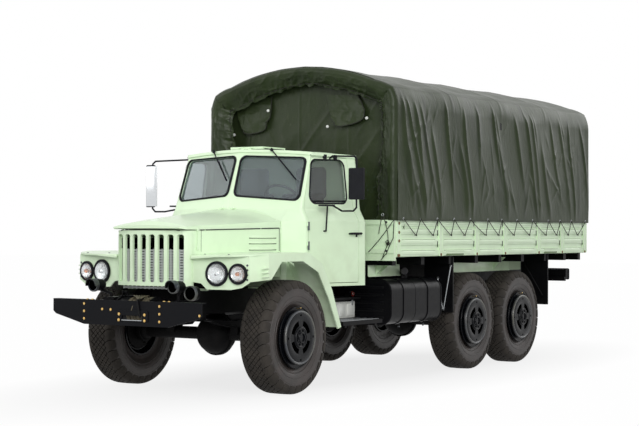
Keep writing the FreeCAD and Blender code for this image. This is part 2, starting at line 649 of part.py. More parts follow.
def nose_block(inset, rear_y, z0, z1):
    face = Part.Face(nose_arc(inset, rear_y))
    face.translate(V(0, 0, z0))
    return face.extrude(V(0, 0, z1 - z0))


def grille():
    """Bowed panel with eight upright slots, rounded at their corners."""
    rear = LAMP_Y - 20
    shell = nose_block(0, rear, GRILLE_BOTTOM, GRILLE_TOP).cut(nose_block(26, rear + 1, 0, OVER_ALL))
    z0, z1 = SLOT_Z
    for i in range(SLOTS):
        x = (i - (SLOTS - 1) / 2.0) * SLOT_PITCH
        half = SLOT_W / 2.0
        corners = [(x - half, NOSE_Y - 20, z0), (x + half, NOSE_Y - 20, z0), (x + half, NOSE_Y - 20, z1),
                   (x - half, NOSE_Y - 20, z1)]
        shell = shell.cut(Part.Face(rounded(corners, SLOT_ROUND)).extrude(V(0, 110, 0)))
    return shell


# ------------------------------------------------------------ bonnet and wings
def bonnet_section(y, half, z_side, z_crown, inset):
    """Arched section: short upright sides and a crowned top."""
    h = half - inset
    rise = 0.35 * (z_crown - z_side)
    left, right = V(-h, y, z_side), V(h, y, z_side)
    up_l, up_r = V(-h, y, z_side + rise), V(h, y, z_side + rise)
    return Part.Wire([Part.LineSegment(left, up_l).toShape(),
                      Part.Arc(up_l, V(0, y, z_crown - inset), up_r).toShape(),
                      Part.LineSegment(up_r, right).toShape(), Part.LineSegment(right, left).toShape()])


def bonnet():
    outer = Part.makeLoft([bonnet_section(*row, 0.0) for row in BONNET], True, True)
    lower = []
    for i, (y, half, z_side, z_crown) in enumerate(BONNET):
        shift = BONNET_T if i == 0 else (1.0 if i == len(BONNET) - 1 else 0.0)
        lower.append(bonnet_section(y + shift, half, z_side - 1.0, z_crown, BONNET_T))
    inner = Part.makeLoft(lower, True, True)
    hinges = [bonnet_hinge(x, x + 30, BONNET_AXIS[0] - 18, BONNET_AXIS[0] - 4) for x in (40.0, -100.0)]
    return fuse([outer.cut(inner)] + hinges)


def side_panel():
    """Left engine side between wing and bonnet, with its inner apron below."""
    z_low = WING_TOP + SKIN
    y0, y1 = LAMP_Y - 20, BONNET_REAR_Y
    front = NOSE_HALF
    rear = BONNET_REAR_HALF
    t = SKIN
    wall = plate_z([(front, y0), (rear, y1), (rear - t, y1), (front - t, y0)], z_low, 1700)
    roof = plate_x([(y0 - 10, SEAM_FRONT_Z - BONNET_GAP), (y1 + 10, SEAM_REAR_Z - BONNET_GAP),
                    (y1 + 10, 1800),
                    (y0 - 10, 1800)], 0, 1200)
    wall = wall.cut(roof)
    apron = plate_z([(front, y0), (rear, y1), (rear - t, y1), (front - t, y0)], 1115, z_low)
    stays = [block(RAIL_OUT - 50, 480, -640, -600, RAIL_TOP, 1130).cut(block(0, 470, -700, -500, 1020, 1200)),
             block(RAIL_OUT - 50, 636, 180, 220, RAIL_TOP, RAIL_TOP + 16),
             block(616, 636, 180, 220, RAIL_TOP, 1125)]
    return fuse([wall, apron] + stays)


def shifted(line, d):
    """The line of (y, z) pairs moved by d along its normals."""
    out = []
    for i, (y, z) in enumerate(line):
        a = line[max(i - 1, 0)]
        b = line[min(i + 1, len(line) - 1)]
        ty, tz = b[0] - a[0], b[1] - a[1]
        n = math.hypot(ty, tz)
        out.append((y - d * tz / n, z + d * ty / n))
    return out


def turned(shape):
    """The shape turned with the lamp panel about the headlamp's upright line."""
    turn = shape.copy()
    turn.rotate(V(HEADLAMP[0], LAMP_Y, 0), V(0, 0, 1), LAMP_SWEEP)
    return turn


def lamp_panel():
    """Flat panel that holds the lamps, swept back to the side."""
    panel = plate_y([(NOSE_HALF - 20, 1330), (LAMP_PANEL_OUT, 1330), (LAMP_PANEL_OUT, 1085), (960, 1040),
                     (850, 1020), (590, 1020), (530, 1075), (NOSE_HALF - 20, 1090)], LAMP_Y, LAMP_Y + SKIN)
    for x, z, r in (HEADLAMP, INDICATOR):
        panel = panel.cut(rod((x, LAMP_Y - 5, z), (x, LAMP_Y + 30, z), r - 6))
    return turned(panel).cut(block(0, NOSE_HALF + SEAT_FIT, -1000, 0, 900, 1500))


def wing():
    """Top sheet, outer skirt with the wheel arch, and the lamp panel."""
    x_out = WING_HALF
    y_turn = SKIRT_FRONT[1][1]
    top_low = list(WING_LINE)
    top_high = shifted(WING_LINE, SKIN)
    sheet = plate_x(top_low + top_high[::-1], NOSE_HALF + 12, x_out)
    skirt = plate_x(top_low + list(ARCH_LINE), x_out - SKIN, x_out)
    skirt = skirt.cut(block(0, x_out + 1, -1000, y_turn, 900, 1400))
    ahead = plate_z(list(BROW) + [(x_out + 10, y_turn), (x_out + 10, -1000), (NOSE_HALF - 40, -1000)], 900,
                    1500)
    inner_edge = plate_z([(400, -900), (NOSE_HALF, LAMP_Y - 20), (BONNET_REAR_HALF, BONNET_REAR_Y),
                          (790, 340), (800, 900), (400, 900)], 500, 1500)
    sheet = sheet.cut(inner_edge).cut(ahead)
    (xa, ya), (xb, yb) = SKIRT_FRONT
    front = plate_z([(xa, ya), (xb, yb), (xb - SKIN, yb), (xa - SKIN, ya + 4)], 1050, 1400)
    under = plate_x(top_low + [(-470.0, 1118.0), (-842.0, 1080.0)], 0, x_out + 1)
    return fuse([sheet, skirt, front.common(under), lamp_panel().common(under.fuse(
        block(0, LAMP_PANEL_OUT, -900, -600, 900, 1120)))])


def lamp_housings():
    """Black bowls with their rims for headlamps and indicators."""
    pieces = []
    for x, z, r in (HEADLAMP, INDICATOR):
        bowl = rod((x, LAMP_Y - 16, z), (x, LAMP_Y + 80, z), r - 6 - SEAT_FIT)
        lip = rod((x, LAMP_Y - 16, z), (x, LAMP_Y - SEAT_FIT, z), r)
        hollow = rod((x, LAMP_Y - 20, z), (x, LAMP_Y + 50, z), r - 24)
        pieces.append(turned(fuse([bowl, lip]).cut(hollow)))
    return both(together(pieces))


def lamp_lenses():
    pieces = []
    for x, z, r in (HEADLAMP, INDICATOR):
        pieces.append(turned(rod((x, LAMP_Y - 8, z), (x, LAMP_Y + 50, z), r - 24 - SEAT_FIT)))
    return both(together(pieces))


# --------------------------------------------------------------------- the cab
def drawn_in(points, d):
    """Closed (x, y) outline, anticlockwise, moved inwards by d."""
    out = []
    for i, (x, y) in enumerate(points):
        normals = []
        for a, b in ((points[i - 1], (x, y)), ((x, y), points[(i + 1) % len(points)])):
            run = math.hypot(b[0] - a[0], b[1] - a[1])
            normals.append(((a[1] - b[1]) / run, (b[0] - a[0]) / run))
        (ax, ay), (bx, by) = normals
        share = d / (1.0 + ax * bx + ay * by)
        out.append((x + (ax + bx) * share, y + (ay + by) * share))
    return out


def cab_section(z, inset, radius):
    """Plan of the cab at height z: front face, turned corner, then sides widening to the rear."""
    if z <= BELT_Z:
        knee = (KNEE_X, FRONT_Y0 + LOW_SWEEP * KNEE_X)
        front = LOW_CORNER
        middle = FRONT_Y0
    else:
        lean = z - SHOULDER_Z
        middle = FRONT_Y0 + RAKE * lean
        side = SIDE_X0 - LEAN * lean - FLARE * SIDE_Y0
        x = (side + FLARE * middle) / (1.0 - FLARE * SCREEN_SWEEP)
        front = (x, middle + SCREEN_SWEEP * x)
        knee = (KNEE_X, middle + SCREEN_SWEEP * KNEE_X)
    rear = (front[0] + FLARE * (CAB_REAR_Y - front[1]), CAB_REAR_Y)
    right = [(-x, y) for x, y in (rear, front, knee)]
    plan = drawn_in([(0.0, middle), knee, front, rear] + right, inset)
    return rounded([(x, y, z) for x, y in plan], radius, sharp=(1, 6))


def cab_block(inset, radius, z0, z1):
    levels = [z for z in (BELT_Z, SHOULDER_Z) if z > z0]
    return Part.makeLoft([cab_section(z, inset, radius) for z in [z0] + levels + [z1]], True, True)


def under_roof(drop):
    """Everything below the crowned roof surface, lowered by drop."""
    edge, crown = ROOF_EDGE - drop, ROOF_CROWN - drop
    a, b, c = V(-ROOF_EDGE_X, 200, edge), V(0, 200, crown), V(ROOF_EDGE_X, 200, edge)
    far = 1300.0
    d, e = V(far, 200, edge - 60), V(far, 200, 500)
    f, g = V(-far, 200, 500), V(-far, 200, edge - 60)
    wire = Part.Wire([Part.Arc(a, b, c).toShape()] +
                     [Part.LineSegment(p, q).toShape() for p, q in ((c, d), (d, e), (e, f), (f, g), (g, a))])
    return Part.Face(wire).extrude(V(0, 1400, 0))


def screen_point(x, z, off=0.0):
    """Point of the left screen plane, moved off along the plane's normal."""
    y = FRONT_Y0 + SCREEN_SWEEP * x + RAKE * (z - SHOULDER_Z)
    n = V(SCREEN_SWEEP, -1.0, RAKE).normalize() * off
    return (x + n.x, y + n.y, z + n.z)


def low_side(y):
    """How far out the left side stands below the belt."""
    return LOW_CORNER[0] + FLARE * (y - LOW_CORNER[1])


def side_point(y, z, off=0.0):
    """Point of the left side plane above the shoulder."""
    x = SIDE_X0 + FLARE * (y - SIDE_Y0) - LEAN * (z - SHOULDER_Z)
    n = V(1.0, -FLARE, LEAN).normalize() * off
    return (x + n.x, y + n.y, z + n.z)


def screen_tool(inset, off0, off1):
    return pane_solid(SCREEN_PANE, screen_point, 60.0, inset, off0, off1)


def door_tool(inset, off0, off1):
    return pane_solid(DOOR_PANE, side_point, 78.0, inset, off0, off1)


def rear_point(x, z, off=0.0):
    return (x, CAB_REAR_Y + off, z)


def rear_tool(inset, off0, off1):
    return pane_solid(REAR_PANE, rear_point, 60.0, inset, off0, off1)


def pane_solid(outline, place, radius, inset, off0, off1):
    """Slab of a pane's outline between two offsets from its plane."""
    cx = sum(p[0] for p in outline) / len(outline)
    cz = sum(p[1] for p in outline) / len(outline)
    pts = []
    for x, z in outline:
        pts.append((x - math.copysign(inset, x - cx), z - math.copysign(inset, z - cz)))
    low = Part.Face(rounded([place(x, z, off0) for x, z in pts], radius))
    a, b = V(*place(cx, cz, off0)), V(*place(cx, cz, off1))
    return low.extrude(b - a)


def arch_space(grow, x_in):
    """Space behind and over a front wheel, bounded by the wing's rear sheet."""
    line = shifted(WING_LINE, SKIN + ARCH_CLEAR + grow)[3:]
    line.append((line[-1][0] + 40, 400.0))
    left = plate_x([(0.0, line[0][1])] + line + [(0.0, 400.0)], x_in, 1300)
    return left.fuse(mirrored(left))


def cab_wall():
    outer = cab_block(0.0, CORNER_R, CAB_FLOOR, 2440.0).common(under_roof(0.0))
    inner = cab_block(CAB_WALL, 20.0, CAB_FLOOR + 30, 2440.0).common(under_roof(28.0))
    return outer.cut(inner)


def scuttle():
    """Panel that carries the bonnet's lines back to the foot of the screens."""
    y0, y1 = BONNET_REAR_Y + BONNET_GAP, BONNET_REAR_Y + 170
    rows = ((y0, BONNET_REAR_HALF, SEAM_REAR_Z - 60, 1790.0),
            (y1, BONNET_REAR_HALF + 70, SEAM_REAR_Z, 1850.0))
    outer = Part.makeLoft([bonnet_section(*row, 0.0) for row in rows], True, True)
    inner = Part.makeLoft([bonnet_section(y, half, z - 1, crown, BONNET_T)
                           for y, half, z, crown in rows], True, True)
    return outer.cut(inner)


def bonnet_hinge(x0, x1, tab_y0, tab_y1):
    """Short barrel on the bonnet's axis with a tab down to the sheet."""
    y, z = BONNET_AXIS
    return rod((x0, y, z), (x1, y, z), HINGE_R).fuse(block(x0, x1, tab_y0, tab_y1, 1772, z))


def hatch_hinge(x0, x1, tab_y, tab_z0, tab_z1):
    """Short barrel on the hatch's axis with a tab along tab_y from tab_z0 to tab_z1."""
    y, z = HATCH_AXIS
    return rod((x0, y, z), (x1, y, z), HINGE_R - 2).fuse(block(x0, x1, *tab_y, tab_z0, tab_z1))


def cab_shell():
    wall = cab_wall().cut(arch_space(0.0, ARCH_IN))
    housing = arch_space(HOUSING_T, ARCH_IN - HOUSING_T).cut(arch_space(0.0, ARCH_IN))
    housing = housing.common(cab_block(0.0, CORNER_R, CAB_FLOOR, 2440.0))
    housing = housing.common(block(-1300, 1300, 0, 1300, 500, 1500))
    gutter = cab_block(-GUTTER, 56.0, 2250.0, 2440.0).common(under_roof(-4.0)).cut(under_roof(26.0))
    gutter = gutter.cut(cab_block(CAB_WALL, 20.0, ROOF_EDGE - 150, ROOF_CROWN + 100))
    collar = square(HATCH / 2 + 14, ROOF_CROWN - 30, ROOF_CROWN + HATCH_COLLAR)
    cowl = scuttle().cut(cab_block(CAB_WALL, 20.0, 1000.0, 2440.0))
    shell = fuse([wall, housing, gutter, collar, cowl])
    for side in (1, -1):
        for tool in (door_space(0.0), screen_tool(0.0, -80, 60), rear_tool(0.0, -60, 60)):
            shell = shell.cut(tool if side > 0 else mirrored(tool))
    shell = shell.cut(square(HATCH / 2, ROOF_CROWN - 100, ROOF_CROWN + 100))
    fixed = [rod((*DOOR_HINGE, z), (*DOOR_HINGE, z + 40), HINGE_R).fuse(
        block(LOW_CORNER[0] - 14, DOOR_HINGE[0], DOOR_HINGE[1] - 14, DOOR_HINGE[1] - 2, z,
              z + 40)) for z in HINGES_Z]
    pieces = fixed + [mirrored(f) for f in fixed]
    y, z = HATCH_AXIS
    pieces += [hatch_hinge(x, x + 30, (y - 6, y + 6), ROOF_CROWN - 12, z) for x in (-60.0, 30.0)]
    for x in (40.0, -100.0):
        pieces.append(bonnet_hinge(x + 30, x + 60, BONNET_AXIS[0] + 4, BONNET_AXIS[0] + 18))
    return fuse([shell] + pieces)


def square(half, z0, z1):
    """Square block centred on the roof hatch."""
    return block(-half, half, HATCH_Y - half, HATCH_Y + half, z0, z1)


def roof_hatch():
    """Square lid lying on the collar round the roof opening."""
    z = ROOF_CROWN + HATCH_COLLAR
    half = HATCH / 2 + HATCH_LAP
    skirt = square(half, z - 8, z).cut(square(half - 10, z - 9, z + 1))
    y = HATCH_AXIS[0]
    knuckles = [hatch_hinge(x, x + 30, (y, HATCH_Y - half), z, z + 10) for x in (-91.0, 61.0)]
    return fuse([square(half, z, z + 16), skirt] + knuckles)


def door_space(gap):
    """Space of the left door's outline, drawn in by the gap."""
    cy = sum(p[0] for p in DOOR) / len(DOOR)
    cz = sum(p[1] for p in DOOR) / len(DOOR)
    outline = [(y - math.copysign(gap, y - cy), z - math.copysign(gap, z - cz)) for y, z in DOOR]
    return plate_x(outline, 700, 1300)


def door(side):
    """Door cut from the cab's own wall, with its window opening and handle."""
    leaf = cab_wall().common(door_space(DOOR_GAP)).cut(door_tool(0.0, -80, 60))
    x = low_side(1190)
    handle = pipe([(x - 4, 1190, 1545), (x + 32, 1190, 1545), (x + 4, 1075, 1545)], 8)
    barrels = [rod((*DOOR_HINGE, z - 40), (*DOOR_HINGE, z), HINGE_R).fuse(
        block(low_side(DOOR_FRONT) + 1, DOOR_HINGE[0], DOOR_HINGE[1] + 2, DOOR_FRONT + DOOR_GAP + 2,
              z - 40, z)).fuse(
        block(low_side(DOOR_FRONT) - 10, DOOR_HINGE[0], DOOR_FRONT + DOOR_GAP + 1,
              DOOR_FRONT + DOOR_GAP + 16, z - 40, z))
        for z in HINGES_Z]
    leaf = fuse([leaf, handle] + barrels)
    return leaf if side > 0 else mirrored(leaf)


def pane(tool, side):
    glass = tool(SEAT_FIT, -CAB_WALL / 2 - GLASS_T / 2, -CAB_WALL / 2 + GLASS_T / 2)
    return glass if side > 0 else mirrored(glass)


def mirror_set(side):
    """Mirror head on a bent tube from the door's top rail to its waist."""
    width, z0, z1 = MIRROR_HEADS[side]
    top = side_point(960, 2306, -10)
    foot = side_point(945, 1835, -10)
    y = 770.0
    x = MIRROR_OUT - width / 2.0 - 12
    tube = pipe([top, (top[0] + 50, 950, 2334), (x - 30, y + 10, 2316), (x, y, 2286), (x, y, 1806),
                 (x - 36, y, 1772), (x - 170, y, 1772), foot], 9)
    head = block(MIRROR_OUT - width, MIRROR_OUT, y - 30, y - 5, z0, z1)
    head = head.makeFillet(11, [e for e in head.Edges if abs(e.tangentAt(0).y) > 0.9])
    x = low_side(750)
    stem = pipe([(x - 10, 735, 1570), (x + 24, 735, 1572), (x + 20, 765, 1822)], 8)
    plate = block(x - 20, x + 74, 660, 820, 1820, 1836)
    body = fuse([tube, head, stem, plate]).cut(cab_block(0.0, CORNER_R, CAB_FLOOR, 2440.0))
    return body if side > 0 else mirrored(body)


def seats():
    """Bench cushions and backs for driver and passengers."""
    pieces = []
    for x0, x1 in ((90.0, 640.0), (-860.0, 10.0)):
        pieces.append(fuse([block(x0, x1, 760, 1200, 1300, 1420), block(x0, x1, 1120, 1240, 1420, SEAT_TOP),
                            block(x0 + 40, x1 - 40, 800, 1180, CAB_FLOOR + 30, 1300)]))
    return together(pieces)


def dashboard():
    shelf = plate_x([(360, 1836), (640, 1806), (690, 1650), (600, 1560), (360, 1600)], -740, 740)
    x, y, z = WHEEL_HUB
    column = rod((x, y - 240, z - 190), WHEEL_HUB, 26)
    return fuse([shelf.common(cab_block(CAB_WALL + SEAT_FIT, 20.0, CAB_FLOOR + 30, 2440.0)), column])


def steering_wheel():
    """Three-spoked wheel on the end of the column."""
    centre = V(*WHEEL_HUB)
    axis = V(0, 240, 190).normalize()
    wheel = Part.makeTorus(220, 14, centre + axis * 20, axis)
    hub = Part.makeCylinder(40, 36, centre + axis * SEAT_FIT, axis)
    across = V(1, 0, 0)
    down = axis.cross(across)
    lower = down * -1 if down.z > 0 else down
    spokes = [Part.makeCylinder(9, 215, centre + axis * 20, d) for d in (across, across * -1, lower)]
    return fuse([wheel, hub] + spokes)


def steps():
    """Tread plate under each door on two brackets from the frame."""
    tread = block(800, 1110, 800, 1560, 640, 662)
    lip = block(1098, 1110, 800, 1560, 622, 640)
    arms = [block(RAIL_OUT, 1090, y, y + 40, 600, 640) for y in (860, 1440)]
    legs = [block(RAIL_OUT, RAIL_OUT + 12, y, y + 40, 640, RAIL_BOTTOM + 60) for y in (860, 1440)]
    return both(fuse([tread, lip] + arms + legs))


def battery_box():
    box = block(480, 800 - SEAT_FIT, 1000, 1510, 662, 845)
    tray = block(470, 860, 960, 1540, 862, 884)
    post = block(480, 790, 1010, 1500, 845, 862)
    return fuse([box, tray, post])


# -------------------------------------------------------- tank and the lockers


def tank_shape(grow=0.0):
    x0, x1, y0, y1, z0, z1 = TANK
    body = block(x0 - grow, x1 + grow, y0, y1, z0 - grow, z1 + grow)
    return body.makeFillet(130 + grow, [e for e in body.Edges if abs(e.tangentAt(0).y) > 0.9])


def fuel_tanks():
    """Tank on brackets from the rail, and its twin on the right."""
    x0, x1, y0, y1, z0, z1 = TANK
    filler = rod((830, 2450, z1 - 5), (830, 2450, z1 + 45), 55)
    arms = [block(RAIL_OUT, x0 + 60, y, y + 50, TANK_ARM_Z, RAIL_TOP - 20).cut(tank_shape())
            for y in STRAPS_Y]
    bands = [tank_shape(4.0).common(block(420, 1200, y, y + 40, 500, 1200)) for y in STRAPS_Y]
    return both(fuse([tank_shape(), filler] + arms + bands))


def mudguards():
    """Upright splash boards before and behind the rear wheels."""
    flaps = [block(*GUARD_X, y + BEARER_HALF, y + BEARER_HALF + 8, 670, BED_BOTTOM - 10) for y in GUARDS_Y]
    return both(together(flaps))


# -------------------------------------------------------------- the cargo body
def bed_floor():
    floor = block(-BED_HALF + BOARD_T + POST_T, BED_HALF - BOARD_T - POST_T, BED_FRONT + BOARD_T, BED_REAR,
                  BED_BOTTOM, BED_BOTTOM + FLOOR_T)
    y, z = GATE_AXIS
    barrels = [rod((x, y, z), (x + 50, y, z), 8).fuse(block(x, x + 50, BED_REAR - 20, y, z - 8,
                                                            BED_BOTTOM + 2))
               for x in GATE_HINGES_X]
    between = [(y0 + BEARER_HALF + SEAT_FIT, y1 - BEARER_HALF - SEAT_FIT)
               for y0, y1 in zip(BEARERS_Y[3:], BEARERS_Y[4:7])]
    screens = [block(s * 800 - 6, s * 800 + 6, y0, y1, 1100, BED_BOTTOM)
               for y0, y1 in between for s in (1, -1)]
    return fuse([floor] + barrels + screens)


def bed_bearers():
    """Cross bearers under the floor and the sills that lie on the frame rails."""
    bearers = [block(-1130, 1130, y - BEARER_HALF, y + BEARER_HALF, BEARER_Z, BED_BOTTOM) for y in BEARERS_Y]
    sills = [block(s * 392 - 40, s * 392 + 40, BED_FRONT + 20, BED_REAR - 125, RAIL_TOP, BEARER_Z)
             for s in (1, -1)]
    return fuse(bearers + sills)


def headboard():
    wall = block(-BED_HALF, BED_HALF, BED_FRONT, BED_FRONT + BOARD_T, BED_BOTTOM - 40, BOARD_TOP)
    rib = [block(-BED_HALF, BED_HALF, BED_FRONT - 12, BED_FRONT, z, z + 50) for z in (1340.0, 1640.0)]
    return fuse([wall] + rib)


def side_board(side):
    """Fixed dropside with upright posts and pressed ribs."""
    x_out = BED_HALF - POST_T
    y0, y1 = BED_FRONT + BOARD_T, BED_REAR
    board = block(x_out - BOARD_T, x_out, y0, y1, BED_BOTTOM, BOARD_TOP)
    posts = [block(x_out, BED_HALF, max(y - 42, y0), min(y + 42, y1), BED_BOTTOM, BOARD_TOP) for y in POSTS_Y]
    ribs = [block(x_out, BED_HALF - 4, y0, y1, z, z + 62) for z in (1310.0, 1425.0, 1540.0, 1625.0)]
    body = fuse([board] + posts + ribs)
    return body if side > 0 else mirrored(body)


def tailgate():
    y0 = BED_REAR + SEAT_FIT
    gate = block(-BED_HALF + 2, BED_HALF - 2, y0 + 4, y0 + TAILGATE_T - 10, BED_BOTTOM + 6, BOARD_TOP)
    ribs = [block(x - 40, x + 40, y0 + TAILGATE_T - 10, REAR_Y, BED_BOTTOM + 40, BOARD_TOP)
            for x in (-1100.0, -550.0, 0.0, 550.0, 1100.0)]
    y, z = GATE_AXIS
    barrels = [rod((x - 50, y, z), (x, y, z), 8).fuse(block(x - 50, x, y - 10, y, z, BED_BOTTOM + 10))
               for x in GATE_HINGES_X]
    return fuse([gate] + ribs + barrels)


# ------------------------------------------------------------------ the canvas
def canvas_wire(inset, y, z_low):
    """Arched outline of the canvas: upright sides, round eaves, crowned top."""
    half = CANVAS_HALF - inset
    top = CANVAS_TOP - inset
    sx, sz = CANVAS_SHOULDER[0] - 0.4 * inset, CANVAS_SHOULDER[1] - 0.92 * inset
    eave = CANVAS_EAVE
    mx, mz = (half - 58.0), (eave + sz) / 2.0 + 42.0
    pts = {n: V(x, y, z) for n, (x, z) in {
        'a': (-half, z_low), 'b': (-half, eave), 'm': (-mx, mz), 'c': (-sx, sz), 't': (0.0, top),
        'd': (sx, sz), 'n': (mx, mz), 'e': (half, eave), 'f': (half, z_low)}.items()}
    return Part.Wire([Part.LineSegment(pts['a'], pts['b']).toShape(),
                      Part.Arc(pts['b'], pts['m'], pts['c']).toShape(),
                      Part.Arc(pts['c'], pts['t'], pts['d']).toShape(),
                      Part.Arc(pts['d'], pts['n'], pts['e']).toShape(),
                      Part.LineSegment(pts['e'], pts['f']).toShape(),
                      Part.LineSegment(pts['f'], pts['a']).toShape()])


def canvas_block(inset, y0, y1, z_low):
    return Part.Face(canvas_wire(inset, y0, z_low)).extrude(V(0, y1 - y0, 0))


def canvas():
    hood = canvas_block(0.0, CANVAS_FRONT, CANVAS_REAR, CANVAS_HEM)
    hood = hood.cut(canvas_block(CANVAS_T, CANVAS_FRONT - 1, CANVAS_REAR + 1, CANVAS_HEM - 1))
    wall_y = BOWS_Y[0] - 20 - CANVAS_T - SEAT_FIT
    wall = canvas_block(CANVAS_T - 2, wall_y, wall_y + CANVAS_T, CANVAS_HEM)
    inside = BED_HALF - POST_T - BOARD_T - 8
    tuck = block(-inside, inside, wall_y, wall_y + CANVAS_T, CANVAS_HEM - WALL_TUCK, CANVAS_HEM + 5)
    return fuse([hood, wall, tuck])


def bows():
    hoops = []
    gap = CANVAS_T + SEAT_FIT
    for y in BOWS_Y:
        hoop = canvas_block(gap + 4, y - 20, y + 20, BOARD_TOP)
        hoop = hoop.cut(canvas_block(gap + 4 + BOW_T, y - 21, y + 21, BOARD_TOP - 1))
        hoops.append(hoop)
    return hoops


def rear_lamps():
    """Lamp bars at the tail, one box each side."""
    arm = block(RAIL_OUT, 1010, BED_REAR - 260, BED_REAR - 220, 940, 990)
    box = block(720, 1010, BED_REAR - 220, BED_REAR - 130, 965, 1090)
    return both(fuse([arm, box]))


def silencer():
    """Exhaust box on the right under the cab, and its tail pipe."""
    can = rod((-620, 700, 760), (-620, 1560, 760), 95)
    pipe_back = pipe([(-620, 1560, 760), (-620, 1600, 760), (-560, 1635, 560)], 38)
    arm = block(-560, -RAIL_OUT, 1100, 1150, 780, 830)
    return fuse([can, pipe_back, arm])


# --------------------------------------------------------------------- writing
def write(name, shape):
    shape = shape.copy()
    shape.translate(V(0, -Y_MID, 0))
    shape.exportStep("parts/%s.step" % name)


def main():
    os.makedirs("parts", exist_ok=True)
    wheel_rows = (("front_left", 1, 0), ("front_right", -1, 0), ("middle_left", 1, 1),
                  ("middle_right", -1, 1), ("rear_left", 1, 2), ("rear_right", -1, 2))
    for name, side, axle in wheel_rows:
        write("tyre_" + name, tyre(side, AXLES_Y[axle]))
        write("wheel_" + name, rim(side, AXLES_Y[axle]))
    write("frame", fuse([frame()] + trunnion()))
    write("tow_hook", tow_hook())
    write("front_axle", front_axle())
    write("knuckle_left", knuckle(1))
    write("knuckle_right", knuckle(-1))
    write("rear_axles", together([driven_axle(y) for y in AXLES_Y[1:]]))
    write("leaf_springs", together([front_springs(), rear_springs()]))
    write("driveline", together([driveline(), rear_shaft()]))
    write("engine_block", together([engine_block(), silencer()]))
    write("bumper", bumper())
    write("winch", together([winch(), winch_rope()]))
    write("radiator", radiator())
    write("grille", grille())
    write("bonnet", bonnet())
    write("wings", both(fuse([wing(), side_panel()])))
    write("lamp_housings", together([lamp_housings(), blackout_lamps(), rear_lamps()]))
    write("lamp_lenses", lamp_lenses())
    write("cab_shell", cab_shell())
    write("cab_glass", together([both(pane(screen_tool, 1)), both(pane(rear_tool, 1))]))
    write("cab_interior", together([seats(), dashboard(), steering_wheel()]))
    write("roof_hatch", roof_hatch())
    for name, side in (("left", 1), ("right", -1)):
        write("door_" + name, door(side))
        write("door_glass_" + name, pane(door_tool, side))
        write("mirror_" + name, mirror_set(side))
    write("steps_and_guards", together([steps(), battery_box(), mudguards()]))
    write("fuel_tanks", fuel_tanks())
    write("bed_floor", bed_floor())
    write("bed_bearers", bed_bearers())
    write("bed_sides", together([side_board(1), side_board(-1), headboard()]))
    write("tailgate", tailgate())
    write("canvas", canvas())
    write("bows", together(bows()))


main()
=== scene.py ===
"""Looks of the military cargo truck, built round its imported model.

Metres, in the truck's own frame: the front faces -Y, +X is the truck's left and
Z is up. Places along the truck are given from the front axle, through aft().
"""
import math

import bmesh
import bpy
import numpy as np
from bpy.props import FloatProperty, FloatVectorProperty, IntProperty, PointerProperty
from mathutils import Matrix, Vector


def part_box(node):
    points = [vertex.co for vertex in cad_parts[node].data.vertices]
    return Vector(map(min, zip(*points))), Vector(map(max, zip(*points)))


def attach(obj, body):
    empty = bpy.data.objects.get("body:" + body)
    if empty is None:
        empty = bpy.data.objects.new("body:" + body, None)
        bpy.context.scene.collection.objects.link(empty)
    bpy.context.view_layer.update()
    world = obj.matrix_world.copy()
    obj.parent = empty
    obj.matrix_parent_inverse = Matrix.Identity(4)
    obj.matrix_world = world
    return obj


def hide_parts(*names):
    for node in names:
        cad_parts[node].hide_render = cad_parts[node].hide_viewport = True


bl_info = {
    "name": "Cargo Truck Looks",
    "version": (1, 0, 0),
    "blender": (4, 5, 0),
    "location": "View3D > Sidebar > Truck",
    "description": "Builds the finish, canvas, tyres and trim of the cargo truck",
    "category": "Object",
}

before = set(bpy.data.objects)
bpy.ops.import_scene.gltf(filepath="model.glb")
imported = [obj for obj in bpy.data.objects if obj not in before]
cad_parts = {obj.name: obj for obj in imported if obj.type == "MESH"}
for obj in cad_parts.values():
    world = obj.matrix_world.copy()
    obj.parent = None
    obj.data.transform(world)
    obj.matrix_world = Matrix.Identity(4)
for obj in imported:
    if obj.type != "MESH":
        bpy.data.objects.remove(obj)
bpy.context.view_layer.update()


def centre(node):
    low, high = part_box(node)
    return (low + high) / 2.0


FRONT_AXLE_Y = centre("wheel_front_left").y
TRACK_HALF = 0.94
WHEELS = ("front_left", "front_right", "middle_left", "middle_right", "rear_left", "rear_right")


def aft(distance):
    """Place along the truck of a point that far behind the front axle."""
    return FRONT_AXLE_Y + distance


def spot(x, y, z):
    """A point given from the front axle, in the truck's own frame."""
    return (x, aft(y), z)


# ------------------------------------------------------------------ the colours
def srgb(code):
    """Scene-linear colour of a painter's code such as 'CDEEB6'."""
    parts = [int(code[i:i + 2], 16) / 255.0 for i in (0, 2, 4)]
    return tuple(c / 12.92 if c <= 0.04045 else ((c + 0.055) / 1.055) ** 2.4 for c in parts)


def colour(name, description, code):
    return FloatVectorProperty(name=name, description=description, subtype="COLOR", size=3,
                               min=0.0, max=1.0, default=srgb(code))


def length(name, description, default):
    return FloatProperty(name=name, description=description, default=default, unit="LENGTH")


class TruckFinish(bpy.types.PropertyGroup):
    """Colours of the truck's finishes."""
    body_paint: colour("Body paint", "Pale mint of the cab, wings and cargo body", "E0F7D4")
    chassis_paint: colour("Chassis paint", "Black of the bumper, frame and wheels", "08080A")
    canvas_cloth: colour("Canvas", "Olive of the proofed canvas", "28331B")
    rubber: colour("Tyre rubber", "Dusty brown-black of the tyres", "2E2A28")
    seat_cloth: colour("Seats", "Dark vinyl of the seats", "2A2C2B")


class TruckCanvas(bpy.types.PropertyGroup):
    """Sizes of the canvas hood."""
    fold_depth: length("Fold depth", "Height of the long folds down the sides", 0.026)
    sag: length("Sag", "Dip of the roof between two hoops", 0.011)
    gather: length("Gather", "Depth of the pleats round the front edge", 0.016)
    seed: IntProperty(name="Seed", description="Arrangement of the folds", default=7)


